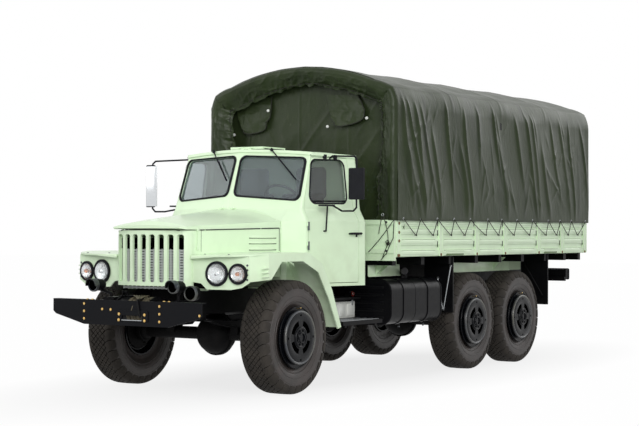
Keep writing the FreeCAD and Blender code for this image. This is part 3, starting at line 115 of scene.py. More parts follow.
class TruckTyres(bpy.types.PropertyGroup):
    """Sizes of the tread."""
    lugs: IntProperty(name="Lugs", description="Shoulder lugs round one side of a tyre", default=30, min=12)
    tread_depth: length("Tread depth", "Height of the blocks over the grooves", 0.02)
    side_half: length("Half width", "Wheel centre plane to the sidewall", 0.155)


class TruckFittings(bpy.types.PropertyGroup):
    """Sizes of cords and seals."""
    lashing_r: length("Lashing", "Radius of the cords that hold the canvas down", 0.0042)
    seal: length("Seal", "Width of the rubber round the screens", 0.026)


def settings():
    return bpy.context.scene.truck_looks


class Parts:
    """An operator that builds its parts in order."""

    def execute(self, context):
        for build in self.parts:
            build()
        return {"FINISHED"}


# ----------------------------------------------------------------- mesh helpers
MERGE = 1e-5                    # points closer than this are one
ALL_SMOOTH = 180                # no edge of the piece is sharp
TIP = 1e-4                      # radius at which a turned profile counts as closed


def grid_faces(rows, columns, round_rows=False, round_columns=False):
    """Quads between the points of a grid listed row by row; either way may close on itself."""
    faces = []
    for i in range(rows - (not round_rows)):
        for k in range(columns - (not round_columns)):
            j, m = (i + 1) % rows, (k + 1) % columns
            faces.append((i * columns + k, i * columns + m, j * columns + m, j * columns + k))
    return faces


def flipped(faces):
    return [(a, d, c, b) for a, b, c, d in faces]


class Shape:
    """Collects vertices and faces, then becomes one object."""

    def __init__(self):
        self.verts = []
        self.faces = []

    def add(self, verts, faces):
        base = len(self.verts)
        self.verts.extend(tuple(v) for v in verts)
        self.faces.extend(tuple(base + i for i in f) for f in faces)
        return self

    def box(self, low, high, chamfer=0.0):
        (x0, y0, z0), (x1, y1, z1) = low, high
        if chamfer <= 0:
            verts = [(x, y, z) for z in (z0, z1) for x, y in ((x0, y0), (x1, y0), (x1, y1), (x0, y1))]
            return self.add(verts, [(3, 2, 1, 0), (4, 5, 6, 7),
                                    (0, 1, 5, 4), (1, 2, 6, 5), (2, 3, 7, 6), (3, 0, 4, 7)])
        work = bmesh.new()
        bmesh.ops.create_cube(work, size=1.0)
        size = Vector((x1 - x0, y1 - y0, z1 - z0))
        mid = Vector((x1 + x0, y1 + y0, z1 + z0)) / 2.0
        bmesh.ops.transform(work, matrix=Matrix.Translation(mid) @ Matrix.Diagonal((*size, 1.0)),
                            verts=work.verts)
        bmesh.ops.bevel(work, geom=list(work.edges), offset=chamfer, segments=2, affect="EDGES", profile=0.5)
        work.verts.index_update()
        self.add([v.co[:] for v in work.verts], [[v.index for v in f.verts] for f in work.faces])
        work.free()
        return self

    def block(self, low, high, chamfer=0.0):
        """Box between two measured places, y from the front axle."""
        return self.box(spot(*low), spot(*high), chamfer)

    def bar(self, points, radius, sides=10):
        """Round bar along measured places, y from the front axle."""
        return self.tube([spot(*p) for p in points], radius, sides)

    def tube(self, points, radius, sides=10, closed=False):
        """Round bar along points; radius is one value or one for each point."""
        pts = [Vector(p) for p in points]
        count = len(pts)
        radii = radius if hasattr(radius, "__len__") else [radius] * count
        normal = None
        rings = []
        for i, p in enumerate(pts):
            before = pts[i - 1] if (i or closed) else p
            after = pts[(i + 1) % count] if (i < count - 1 or closed) else p
            along = (after - before).normalized()
            if normal is None:
                normal = along.cross(Vector((0.3, 0.2, 1.0))).normalized()
            normal = (normal - along * normal.dot(along)).normalized()
            other = along.cross(normal)
            rings.append([p + (normal * math.cos(a) + other * math.sin(a)) * radii[i]
                          for a in (2 * math.pi * k / sides for k in range(sides))])
        faces = grid_faces(count, sides, closed, True)
        if not closed:
            faces += [tuple(range(sides))[::-1], tuple((count - 1) * sides + k for k in range(sides))]
        return self.add([v for ring in rings for v in ring], faces)

    def lathe(self, profile, origin, axis="X", sides=48, closed=False):
        """Turns (along, radius) pairs round an axis; closed joins the last pair to the first."""
        verts = []
        for k in range(sides):
            a = 2 * math.pi * k / sides
            c, s = math.cos(a), math.sin(a)
            for along, r in profile:
                local = {"X": (along, r * c, r * s), "Y": (r * s, along, r * c),
                         "Z": (r * c, r * s, along)}[axis]
                verts.append(tuple(o + v for o, v in zip(origin, local)))
        return self.add(verts, flipped(grid_faces(sides, len(profile), True, closed)))

    def mirrored(self):
        """Adds the same pieces on the other side of the truck."""
        base = len(self.verts)
        self.verts.extend([(-x, y, z) for x, y, z in self.verts])
        self.faces.extend([tuple(base + i for i in reversed(f)) for f in list(self.faces)])
        return self

    def mesh(self, name, outward=True):
        mesh = bpy.data.meshes.new(name)
        mesh.from_pydata(self.verts, [], self.faces)
        work = bmesh.new()
        work.from_mesh(mesh)
        bmesh.ops.remove_doubles(work, verts=work.verts, dist=MERGE)
        if outward:
            bmesh.ops.recalc_face_normals(work, faces=work.faces)
        work.to_mesh(mesh)
        work.free()
        return mesh

    def piece(self, name, key, smooth=60, body="chassis", slot=None, outward=True):
        return place(self.mesh(name, outward), name, key, smooth, body)


def place(mesh, name, key, smooth=35, body="chassis"):
    """Makes a finished piece of a mesh: painted, shaded smooth up to an angle, riding on its body."""
    obj = bpy.data.objects.new(name, mesh)
    bpy.context.scene.collection.objects.link(obj)
    mesh.materials.clear()
    mesh.materials.append(mat(key))
    mesh.polygons.foreach_set("use_smooth", [True] * len(mesh.polygons))
    if smooth < ALL_SMOOTH:
        mesh.set_sharp_from_angle(angle=math.radians(smooth))
    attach(obj, body)
    return obj


def plain_mesh(obj):
    """Mesh of an object with its modifiers run."""
    return bpy.data.meshes.new_from_object(obj.evaluated_get(bpy.context.evaluated_depsgraph_get()))


def arc_through(a, b, c, count):
    """Points on the circle through three points of a plane, from a to c."""
    (ax, ay), (bx, by), (cx, cy) = a, b, c
    d = 2 * (ax * (by - cy) + bx * (cy - ay) + cx * (ay - by))
    aa, bb, cc = ax * ax + ay * ay, bx * bx + by * by, cx * cx + cy * cy
    ux = (aa * (by - cy) + bb * (cy - ay) + cc * (ay - by)) / d
    uy = (aa * (cx - bx) + bb * (ax - cx) + cc * (bx - ax)) / d
    r = math.hypot(ax - ux, ay - uy)
    t0 = math.atan2(ay - uy, ax - ux)
    t1 = math.atan2(cy - uy, cx - ux)
    tm = math.atan2(by - uy, bx - ux)
    while t1 < t0:
        t1 += 2 * math.pi
    while tm < t0:
        tm += 2 * math.pi
    if tm > t1:
        t1 -= 2 * math.pi
    return [(ux + r * math.cos(t0 + (t1 - t0) * k / count), uy + r * math.sin(t0 + (t1 - t0) * k / count))
            for k in range(count + 1)]


def rounded_loop(corners, radius, steps=6):
    """Closed outline of plane points with each corner rounded."""
    out = []
    n = len(corners)
    for i in range(n):
        p = Vector(corners[i])
        to_prev = (Vector(corners[i - 1]) - p).normalized()
        to_next = (Vector(corners[(i + 1) % n]) - p).normalized()
        half = math.acos(max(-1.0, min(1.0, to_prev.dot(to_next)))) / 2.0
        reach = radius / math.tan(half)
        mid = p + (to_prev + to_next).normalized() * (radius / math.sin(half))
        a = p + to_prev * reach - mid
        b = p + to_next * reach - mid
        for k in range(steps + 1):
            v = a.lerp(b, k / steps)
            out.append(mid + v.normalized() * radius)
    return [tuple(v) for v in out]


# ----------------------------------------------------------------- node builders
def join(tree, nodes, links, **known):
    """Adds nodes, key: (type, values), and links them by lines of 'key.output > key.input'.

    A value's name in capitals or a number is an input, any other is a setting of the node.
    """
    made = dict(known)
    for key, (kind, *values) in nodes.items():
        node = made[key] = tree.nodes.new(kind)
        for name, value in (values[0] if values else {}).items():
            if isinstance(name, int) or name[0].isupper():
                node.inputs[name].default_value = value
            else:
                setattr(node, name, value)
    for line in links.strip().splitlines():
        ends = []
        for end, side in zip(line.split(" > "), ("outputs", "inputs")):
            key, socket = end.strip().split(".")
            ends.append(getattr(made[key], side)[int(socket) if socket.isdigit() else socket])
        tree.links.new(*ends)
    return made


def link(tree, *pairs):
    for a, b in pairs:
        tree.links.new(a, b)


def copying_tree(name, inputs, nodes, links):
    """Geometry tree with named inputs (name, type, default) that ends in one painted mesh."""
    tree = bpy.data.node_groups.new(name, "GeometryNodeTree")
    rows = (("Geometry", "Geometry", None), *inputs, ("Material", "Material", None))
    for label, kind, default in rows:
        socket = tree.interface.new_socket(name=label, in_out="INPUT", socket_type="NodeSocket" + kind)
        if default is not None:
            socket.default_value = default
    tree.interface.new_socket(name="Geometry", in_out="OUTPUT", socket_type="NodeSocketGeometry")
    ends = {"source": ("NodeGroupInput",), "realize": ("GeometryNodeRealizeInstances",),
            "paint": ("GeometryNodeSetMaterial",), "out": ("NodeGroupOutput",)}
    join(tree, {**ends, **nodes}, links + """
        realize.0 > paint.Geometry
        source.Material > paint.Material
        paint.0 > out.0""")
    return tree


def bolt_tree():
    """A hex head on a washer at every point, standing along the point's own axis."""
    inputs = (("Head radius", "Float", 0.012), ("Head height", "Float", 0.008), ("Sides", "Int", 6))
    nodes = {
        "head": ("GeometryNodeMeshCylinder",),
        "washer": ("GeometryNodeMeshCylinder", {"Vertices": 12}),
        "wider": ("ShaderNodeMath", {"operation": "MULTIPLY", 1: 1.45}),
        "flat": ("ShaderNodeMath", {"operation": "MULTIPLY", 1: 0.5}),
        "both": ("GeometryNodeJoinGeometry",),
        "axis": ("GeometryNodeInputNamedAttribute", {"data_type": "FLOAT_VECTOR", "Name": "axis"}),
        "turn": ("FunctionNodeAlignRotationToVector", {"axis": "Z"}),
        "copies": ("GeometryNodeInstanceOnPoints",),
    }
    return copying_tree("Bolts", inputs, nodes, """
        source.Head radius > head.Radius
        source.Sides > head.Vertices
        source.Head height > head.Depth
        source.Head radius > wider.0
        wider.0 > washer.Radius
        source.Head height > flat.0
        flat.0 > washer.Depth
        head.Mesh > both.0
        washer.Mesh > both.0
        axis.Attribute > turn.Vector
        source.Geometry > copies.Points
        both.0 > copies.Instance
        turn.0 > copies.Rotation
        copies.0 > realize.0""")


def ring_tree():
    """Copies of a mesh turned round a line along X through a hub point."""
    inputs = (("Count", "Int", 30), ("Hub", "Vector", (0.0, 0.0, 0.0)), ("Start", "Float", 0.0))
    nodes = {
        "line": ("GeometryNodeMeshLine", {"mode": "OFFSET", "Offset": (0.0, 0.0, 0.0)}),
        "index": ("GeometryNodeInputIndex",),
        "step": ("ShaderNodeMath", {"operation": "DIVIDE", 0: 2 * math.pi}),
        "angle": ("ShaderNodeMath", {"operation": "MULTIPLY_ADD"}),
        "turn": ("ShaderNodeCombineXYZ",),
        "copies": ("GeometryNodeInstanceOnPoints",),
        "move": ("GeometryNodeSetPosition",),
    }
    return copying_tree("Round the hub", inputs, nodes, """
        source.Count > line.Count
        source.Count > step.1
        index.0 > angle.0
        step.0 > angle.1
        source.Start > angle.2
        angle.0 > turn.X
        line.0 > copies.Points
        source.Geometry > copies.Instance
        turn.0 > copies.Rotation
        copies.0 > move.Geometry
        source.Hub > move.Offset
        move.0 > realize.0""")


def row_tree():
    """Copies of a mesh in a straight row."""
    inputs = (("Count", "Int", 2), ("Step", "Vector", (0.0, 0.1, 0.0)))
    nodes = {
        "line": ("GeometryNodeMeshLine", {"mode": "OFFSET"}),
        "copies": ("GeometryNodeInstanceOnPoints",),
    }
    return copying_tree("In a row", inputs, nodes, """
        source.Count > line.Count
        source.Step > line.Offset
        line.0 > copies.Points
        source.Geometry > copies.Instance
        copies.0 > realize.0""")


TREES = {"bolts": bolt_tree, "ring": ring_tree, "row": row_tree}


def grow(mesh, tree_name, **inputs):
    """Runs a mesh through one of the trees and returns the plain result."""
    tree = bpy.data.node_groups.get("truck_" + tree_name)
    if tree is None:
        tree = TREES[tree_name]()
        tree.name = "truck_" + tree_name
    obj = bpy.data.objects.new("growing", mesh)
    bpy.context.scene.collection.objects.link(obj)
    modifier = obj.modifiers.new("grow", "NODES")
    modifier.node_group = tree
    for item in tree.interface.items_tree:
        key = item.name.lower().replace(" ", "_")
        if item.in_out == "INPUT" and key in inputs:
            modifier[item.identifier] = inputs[key]
    result = plain_mesh(obj)
    bpy.data.objects.remove(obj)
    return result


def bolts(name, rows, key, radius, height, sides=6, body="chassis"):
    """Fastener heads at rows of (place, axis)."""
    mesh = bpy.data.meshes.new(name)
    mesh.from_pydata([p for p, _ in rows], [], [])
    axis = mesh.attributes.new("axis", "FLOAT_VECTOR", "POINT")
    axis.data.foreach_set("vector", [c for _, a in rows for c in a])
    grown = grow(mesh, "bolts", head_radius=radius, head_height=2 * height, sides=sides, material=mat(key))
    return place(grown, name, key, body=body)


# --------------------------------------------------------------- material kit
class Finish:
    """One procedural material, built from a few plain steps."""

    def __init__(self, name, base, roughness, metallic=0.0, **sockets):
        self.material = bpy.data.materials.new(name)
        self.material.use_nodes = True
        self.tree = self.material.node_tree
        self.shader = self.tree.nodes["Principled BSDF"]
        self.shader.inputs["Base Color"].default_value = (*base, 1.0)
        self.shader.inputs["Roughness"].default_value = roughness
        self.shader.inputs["Metallic"].default_value = metallic
        for label, value in sockets.items():
            self.shader.inputs[label.replace("_", " ")].default_value = value
        self.base = base
        self.coords = self.tree.nodes.new("ShaderNodeTexCoord").outputs["Object"]
        self.colour = None

    def node(self, kind, **values):
        made = self.tree.nodes.new(kind)
        for label, value in values.items():
            setattr(made, label, value)
        return made

    def noise(self, scale, detail=4.0, stretch=(1.0, 1.0, 1.0), distortion=0.0):
        mapping = self.node("ShaderNodeMapping")
        mapping.inputs["Scale"].default_value = stretch
        made = self.node("ShaderNodeTexNoise")
        made.inputs["Scale"].default_value = scale
        made.inputs["Detail"].default_value = detail
        made.inputs["Distortion"].default_value = distortion
        link(self.tree, (self.coords, mapping.inputs[0]), (mapping.outputs[0], made.inputs["Vector"]))
        return made.outputs["Fac"]

    def ramp(self, value, low, high, from_value=0.0, to_value=1.0):
        made = self.node("ShaderNodeMapRange", clamp=True)
        for label, number in zip(("From Min", "From Max", "To Min", "To Max"),
                                 (low, high, from_value, to_value)):
            made.inputs[label].default_value = number
        link(self.tree, (value, made.inputs["Value"]))
        return made.outputs["Result"]

    def tint(self, factor, other, strength=1.0):
        """Mixes the colour so far with another one by a factor."""
        mix = self.node("ShaderNodeMix", data_type="RGBA")
        if self.colour is None:
            mix.inputs["A"].default_value = (*self.base, 1.0)
        else:
            link(self.tree, (self.colour, mix.inputs["A"]))
        mix.inputs["B"].default_value = (*other, 1.0)
        scaled = self.ramp(factor, 0.0, 1.0, 0.0, strength)
        link(self.tree, (scaled, mix.inputs["Factor"]))
        self.colour = mix.outputs["Result"]
        link(self.tree, (self.colour, self.shader.inputs["Base Color"]))
        return self

    def blotch(self, other, strength, low, high, *noise):
        """Patches of another colour where a noise runs from low to high."""
        return self.tint(self.ramp(self.noise(*noise), low, high), other, strength)

    def shine(self, factor, low, high):
        """Roughness that runs from low to high with a factor."""
        link(self.tree, (self.ramp(factor, 0.0, 1.0, low, high), self.shader.inputs["Roughness"]))
        return self

    def bump(self, height, strength, distance):
        made = self.node("ShaderNodeBump")
        made.inputs["Strength"].default_value = strength
        made.inputs["Distance"].default_value = distance
        link(self.tree, (height, made.inputs["Height"]))
        if self.shader.inputs["Normal"].is_linked:
            link(self.tree, (self.shader.inputs["Normal"].links[0].from_socket, made.inputs["Normal"]))
        link(self.tree, (made.outputs["Normal"], self.shader.inputs["Normal"]))
        return self

    def height_fade(self, z_low, z_high):
        """1 below z_low, 0 above z_high."""
        split = self.node("ShaderNodeSeparateXYZ")
        link(self.tree, (self.coords, split.inputs[0]))
        return self.ramp(split.outputs["Z"], z_low, z_high, 1.0, 0.0)

    def product(self, a, b):
        made = self.node("ShaderNodeMath", operation="MULTIPLY")
        link(self.tree, (a, made.inputs[0]), (b, made.inputs[1]))
        return made.outputs[0]


def scaled(tone, factor):
    return tuple(min(1.0, c * factor) for c in tone)


def painted_sheet(name, tone, roughness=0.36, shade=1.0):
    """Sprayed enamel on sheet steel: soft patches, road dust low down, fine orange peel."""
    base = scaled(tone, shade)
    f = Finish(name, base, roughness, Coat_Weight=0.35, Coat_Roughness=0.12)
    f.blotch(scaled(base, 0.9), 0.55, 0.35, 0.7, 1.1, 3.0)
    f.blotch(scaled(base, 0.82), 0.28, 0.52, 0.8, 7.0, 6.0)
    dust = f.product(f.height_fade(0.75, 1.7), f.ramp(f.noise(5.0, 7.0), 0.4, 0.75))
    f.tint(dust, srgb("8F8A6A"), 0.34)
    f.shine(f.noise(9.0, 5.0), roughness - 0.05, roughness + 0.16)
    f.bump(f.noise(240.0, 2.0), 0.05, 0.0008)
    return f.bump(f.noise(3.5, 2.0), 0.1, 0.01).material


def black_enamel(name, tone, roughness=0.42, dusty=0.3, gloss=0.1):
    f = Finish(name, tone, roughness, Specular_IOR_Level=gloss)
    f.blotch(srgb("141414"), dusty, 0.45, 0.75, 6.0, 7.0)
    f.tint(f.product(f.height_fade(0.35, 1.05), f.ramp(f.noise(14.0, 8.0), 0.42, 0.7)), srgb("1E1C1A"), dusty)
    f.shine(f.noise(20.0, 6.0), roughness - 0.1, roughness + 0.2)
    return f.bump(f.noise(160.0, 3.0), 0.08, 0.001).material


def rubber(name, tone, dust="453E39", amount=0.6, roughness=0.8, gloss=0.22):
    f = Finish(name, tone, roughness, Specular_IOR_Level=gloss)
    f.blotch(srgb(dust), amount, 0.35, 0.75, 8.0, 7.0)
    f.blotch(srgb("2A2624"), 0.5, 0.55, 0.8, 60.0, 4.0)
    return f.bump(f.noise(110.0, 4.0), 0.18, 0.0012).material


def canvas_cloth(name, tone, shade=1.0):
    """Proofed canvas: fine weave, rubbed paler patches, darker damp streaks, waxy gloss."""
    f = Finish(name, scaled(tone, shade), 0.4, Specular_IOR_Level=0.22)
    f.blotch(srgb("38412A"), 0.5, 0.36, 0.72, 1.3, 6.0, (1.0, 0.7, 1.0))
    f.blotch(srgb("141A11"), 0.6, 0.5, 0.78, 3.0, 8.0, (1.0, 2.5, 0.35))
    f.blotch(srgb("4C523B"), 0.25, 0.6, 0.74, 22.0, 8.0, (1.0, 1.0, 0.4), 1.2)
    f.shine(f.noise(4.0, 6.0), 0.3, 0.46)
    for stretch in ((1.0, 1.0, 0.02), (0.02, 1.0, 1.0)):
        f.bump(f.noise(900.0, 1.0, stretch), 0.08, 0.0004)
    f.bump(f.noise(9.0, 6.0, (1.0, 1.4, 0.45), 1.5), 0.3, 0.01)
    return f.bump(f.noise(45.0, 5.0, (1.0, 1.0, 0.6), 0.8), 0.14, 0.002).material


def plain_metal(name, tone, roughness, metallic=1.0, grain=80.0):
    f = Finish(name, tone, roughness, metallic)
    f.blotch(scaled(tone, 0.6), 0.5, 0.5, 0.8, grain / 4.0, 6.0)
    f.shine(f.noise(grain, 4.0), roughness - 0.06, roughness + 0.14)
    return f.bump(f.noise(grain * 3, 2.0), 0.05, 0.0006).material


def glass(name, tone, clear=1.0):
    """Window glass; clear is the share of light that it lets through."""
    f = Finish(name, tone, 0.02, Transmission_Weight=clear, IOR=1.45)
    return f.shine(f.noise(6.0, 5.0), 0.02, 0.05).material


def lamp_glass(name, tone):
    """Pressed lens with upright flutes."""
    f = Finish(name, tone, 0.05, Transmission_Weight=0.85, IOR=1.4)
    wave = f.node("ShaderNodeTexWave", bands_direction="X")
    wave.inputs["Scale"].default_value = 22.0
    link(f.tree, (f.coords, wave.inputs["Vector"]))
    return f.bump(wave.outputs["Fac"], 0.5, 0.004).material


def vinyl(name, tone):
    f = Finish(name, tone, 0.5)
    f.blotch(scaled(tone, 1.8), 0.4, 0.4, 0.8, 5.0, 5.0)
    return f.bump(f.noise(320.0, 3.0), 0.25, 0.0008).material


def planks(name, tone):
    f = Finish(name, tone, 0.65)
    f.blotch(srgb("5F5A45"), 0.7, 0.4, 0.75, 3.0, 8.0, (9.0, 0.5, 1.0))
    return f.bump(f.noise(4.0, 8.0, (14.0, 0.6, 1.0)), 0.3, 0.003).material


# columns: maker, name, colour (a setting's name or a painter's code), what else the maker takes
FINISHES = {
    "mint": (painted_sheet, "mint_enamel", "body_paint"),
    # the load floor takes a darker copy of the body paint: painted shade
    "mint_inside": (painted_sheet, "mint_enamel_inside", "body_paint", 0.5, 0.72),
    "white": (painted_sheet, "white_enamel", "E6E8E4", 0.4),
    "shade_green": (painted_sheet, "shaded_enamel", "5E7A4C", 0.6),
    "slate": (painted_sheet, "slate_enamel", "232A32", 0.4),
    # the wheel lip is grey instead of wheel black so that it shows a bright crescent: painted highlight
    "lip": (painted_sheet, "worn_wheel_lip", "2C3036", 0.3),
    "black": (black_enamel, "black_chassis_enamel", "chassis_paint"),
    "bumper": (black_enamel, "bumper_enamel", "0B0C10", 0.42, 0.08),
    "wheel": (black_enamel, "wheel_enamel", "090B0F", 0.22, 0.05, 0.16),
    "cast": (black_enamel, "cast_iron_black", "0A0A0B", 0.62, 0.4),
    "tank": (black_enamel, "tank_enamel", "0A0A0D", 0.3, 0.15),
    "dark": (black_enamel, "shadow_gap", "020202", 0.9, 0.0, 0.0),
    "tyre": (rubber, "tyre_rubber", "rubber", "4A403D", 0.5, 0.46, 0.42),
    "tread": (rubber, "tread_rubber", "2F2C29", "47423C", 0.6),
    "seal": (rubber, "black_seal_rubber", "121318", "202228", 0.4),
    "cord": (rubber, "lashing_cord", "2A2C26", "3D4036", 0.6),
    "canvas": (canvas_cloth, "olive_canvas", "canvas_cloth"),
    "canvas_inner": (canvas_cloth, "olive_canvas_shade", "canvas_cloth", 0.9),
    # the screens' glass is tinted blue-grey and lets 86% through; the rest is a pale diffuse haze, a painted
    # sky reflection
    "glass": (glass, "window_glass", (0.46, 0.52, 0.55), 0.86),
    "clear": (glass, "door_window_glass", (0.62, 0.66, 0.64), 0.98),
    "lens": (lamp_glass, "lamp_lens", (0.95, 0.96, 0.95)),
    "amber": (lamp_glass, "amber_bulb", (0.9, 0.32, 0.12)),
    "red": (lamp_glass, "red_lens", (0.55, 0.03, 0.02)),
    "chrome": (plain_metal, "bright_housing", "D4D7D9", 0.16, 1.0, 20.0),
    "mirror": (plain_metal, "bright_reflector", "E8ECEE", 0.08, 1.0, 20.0),
    "steel": (plain_metal, "galvanised_steel", "A5A8AA", 0.38),
    "brass": (plain_metal, "passivated_bolts", "D9B979", 0.35),
    "wire": (plain_metal, "wire_rope", "57503F", 0.5, 0.5),
    "fins": (plain_metal, "radiator_fins", "C2C4C6", 0.5, 0.15),
    "rusty": (plain_metal, "rusty_bolts", "7A5A3E", 0.6, 0.6),
    "dark_steel": (plain_metal, "dull_steel", "5B5E60", 0.45),
    "vinyl": (vinyl, "seat_vinyl", "seat_cloth"),
    "dash": (vinyl, "dashboard_enamel", "2E3230"),
    "planks": (planks, "painted_planks", "7C8F62"),
}
# finishes made so far, by the table's key
MADE = {}


def tone_of(value):
    """Colour of a finish setting or of a painter's code; a colour in numbers stays as it is."""
    if not isinstance(value, str):
        return value
    return tuple(getattr(settings().finish, value)) if value in TruckFinish.__annotations__ else srgb(value)


def mat(key):
    """The truck's materials, each made when it is first asked for."""
    if key not in MADE:
        maker, name, tone, *rest = FINISHES[key]
        MADE[key] = maker(name, tone_of(tone), *rest)
    return MADE[key]


# CAD nodes and their materials
NODE_FINISH = {
    "mint": ("grille", "bonnet", "wings", "cab_shell", "roof_hatch", "door_left", "door_right", "bed_sides",
             "tailgate"),
    "mint_inside": ("bed_floor",),
    "black": ("frame", "bed_bearers", "leaf_springs", "driveline", "winch", "lamp_housings",
              "steps_and_guards", "bows", "tow_hook"),
    "seal": ("mirror_left", "mirror_right"),
    "bumper": ("bumper",),
    "tank": ("fuel_tanks",),
    "cast": ("front_axle", "rear_axles", "engine_block", "knuckle_left", "knuckle_right"),
    "wheel": tuple("wheel_" + w for w in WHEELS),
    "glass": ("cab_glass",),
    "clear": ("door_glass_left", "door_glass_right"),
    "lens": ("lamp_lenses",),
    # the radiator core behind the fins takes the shadow material: painted shade in the gaps between the fins
    "dark": ("radiator",),
    "tyre": tuple("tyre_" + w for w in WHEELS),
    "canvas": ("canvas",),
    "vinyl": ("cab_interior",),
}


def paint_frame():
    for key, nodes in NODE_FINISH.items():
        for node in nodes:
            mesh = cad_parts[node].data
            mesh.materials.clear()
            mesh.materials.append(mat(key))


# ------------------------------------------------------------------------ tyres
def carcass_profile(half):
    """Half of a tyre's wall as (distance from the middle plane, radius), tread to bead."""
    return [(0.0, 0.531), (0.055, 0.53), (0.1, 0.526), (0.126, 0.519), (0.142, 0.503), (0.15, 0.478),
            (half - 0.001, 0.45), (half, 0.418), (half - 0.004, 0.38), (half - 0.013, 0.35), (0.129, 0.325),
            (0.124, 0.312), (0.119, 0.305), (0.113, 0.292), (0.108, 0.27), (0.104, 0.256)]


def carcass(side_half):
    half = carcass_profile(side_half)
    inside = [(-x, r) for x, r in half[::-1]]
    outline = inside + half[1:]
    shape = Shape()
    shape.lathe(outline, (0.0, 0.0, 0.0), "X", 96, closed=True)
    for r, x in ((0.345, side_half - 0.0125), (0.395, side_half - 0.0015), (0.452, side_half - 0.0015)):
        for s in (1, -1):
            shape.lathe([(s * (x - 0.004), r - 0.006), (s * (x + 0.0022), r - 0.002),
                         (s * (x + 0.0022), r + 0.002),
                         (s * (x - 0.004), r + 0.006)], (0.0, 0.0, 0.0), "X", 96)
    return shape


def tread_radius(x):
    """Radius of the block tops across the tread."""
    return 0.55 - 0.1 * max(0.0, abs(x) - 0.02) ** 1.55


def block_on_tread(shape, outline, depth):
    """Tapered rubber block over an outline of (angle in degrees, x)."""
    cx = sum(x for _, x in outline) / len(outline)
    ca = sum(a for a, _ in outline) / len(outline)
    verts = []
    for grow_by, drop in ((1.12, -depth), (1.0, -0.003), (0.94, 0.0)):
        for a, x in outline:
            px, pa = cx + (x - cx) * grow_by, math.radians(ca + (a - ca) * grow_by)
            r = tread_radius(px) + drop
            verts.append((px, r * math.sin(pa), r * math.cos(pa)))
    n = len(outline)
    shape.add(verts, [tuple(range(n)), tuple(range(2 * n, 3 * n))[::-1]] + grid_faces(3, n, False, True))


def shoulder_lug(shape, side, start, depth):
    """Horn-shaped lug that curves over the shoulder and fades into the sidewall."""
    # columns: the five points (angle, x) of the inner edge, then rows of x, top radius, five angles, height
    inner = ((0.1, 0.0915), (3.0, 0.063), (6.0, 0.0915), (8.5, 0.069), (11.0, 0.0905))
    rows = ((0.1, 0.5485, (0.8, 3.5, 6.3, 9.0, 11.9), depth),
            (0.114, 0.5465, (1.7, 4.3, 7.1, 9.9, 12.8), depth),
            (0.127, 0.542, (2.2, 4.9, 7.7, 10.5, 13.3), depth),
            (0.138, 0.533, (2.5, 5.2, 8.0, 10.8, 13.5), depth),
            (0.1465, 0.519, (2.7, 5.3, 8.1, 10.9, 13.5), 0.015),
            (0.152, 0.503, (3.0, 5.5, 8.2, 10.9, 13.3), 0.01),
            (0.1552, 0.486, (3.6, 5.9, 8.2, 10.6, 12.8), 0.005),
            (0.157, 0.47, (4.4, 6.3, 8.2, 10.2, 12.0), 0.0015))
    grid = [[(a, x, tread_radius(x), depth) for a, x in inner]]
    grid += [[(a, x, r, height) for a in angles] for x, r, angles, height in rows]
    verts, width = [], len(inner) + 2
    for k, row in enumerate([grid[0]] + grid):
        low = k == 0
        edged = [(row[0][0] - 0.45,) + row[0][1:], *row, (row[-1][0] + 0.45,) + row[-1][1:]]
        for j, (a, x, r, height) in enumerate(edged):
            down = height if low or j in (0, width - 1) else 0.0
            rr = r - down * (0.95 if x < 0.142 else 0.3)
            xx = x - down * (0.0 if x < 0.13 else 0.75) - (0.004 if low else 0.0)
            t = math.radians(start + a)
            verts.append((side * xx, rr * math.sin(t), rr * math.cos(t)))
    count = len(grid) + 1
    faces = grid_faces(count, width)
    faces += [tuple(range(width))[::-1], tuple((count - 1) * width + k for k in range(width))]
    faces += [tuple(i * width for i in range(count)), tuple((i + 1) * width - 1 for i in range(count))[::-1]]
    shape.add(verts, faces)


def tread_pitch(depth):
    """The blocks of one pitch: a shoulder lug each side and ten small diamonds in a lattice."""
    shape = Shape()
    shoulder_lug(shape, 1, 0.0, depth)
    shoulder_lug(shape, -1, 0.0, depth)
    for k in range(-2, 3):
        x = 0.02875 * k
        for a in (3.0 * (k % 2), 3.0 * (k % 2) + 6.0):
            block_on_tread(shape, [(a - 2.6, x), (a, x - 0.0248), (a + 2.6, x), (a, x + 0.0248)], depth)
    return shape


class TRUCK_OT_tyres(bpy.types.Operator):
    """Six block-tread tyres in place of the plain rings"""
    bl_idname = "truck.tyres"
    bl_label = "Tyres"

    def execute(self, context):
        opts = settings().tyres
        for i, wheel in enumerate(WHEELS):
            hub = centre("tyre_" + wheel)
            body = "running_wheel_" + wheel
            blocks = grow(tread_pitch(opts.tread_depth).mesh("tread_" + wheel), "ring", count=opts.lugs,
                          hub=hub, start=0.07 * i, material=mat("tread"))
            tread = place(blocks, "tread_" + wheel, "tread", 40, body)
            wall = carcass(opts.side_half)
            wall.verts = [(x + hub.x, y + hub.y, z + hub.z) for x, y, z in wall.verts]
            ring = wall.piece("carcass_" + wheel, "tyre", 50, body)
            for obj in (tread, ring):
                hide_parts("tyre_" + wheel)
        return {"FINISHED"}


# ------------------------------------------------------------------- the canvas
HOOD_LOW, HOOD_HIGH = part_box("canvas")
HEM_Z, EAVE_Z = 1.686, 2.88
BOWS_Y = [aft(v) for v in (1.88, 2.9, 4.09, 5.28, 6.47)]
ROOF_X, ROOF_Z = 0.94, 3.166                # where the roof's arch begins
SHOULDER, BEND = (-1.15, 3.084), (-1.055, 3.133)
WALL_HALF, WALL_LOW = 1.192, 1.55           # front wall
WALL_Y, FLAP_Y = 1.872, 1.852
ROLL, TURNED = 0.05, 0.16                  # radius of the front edge, share of the band that is turned


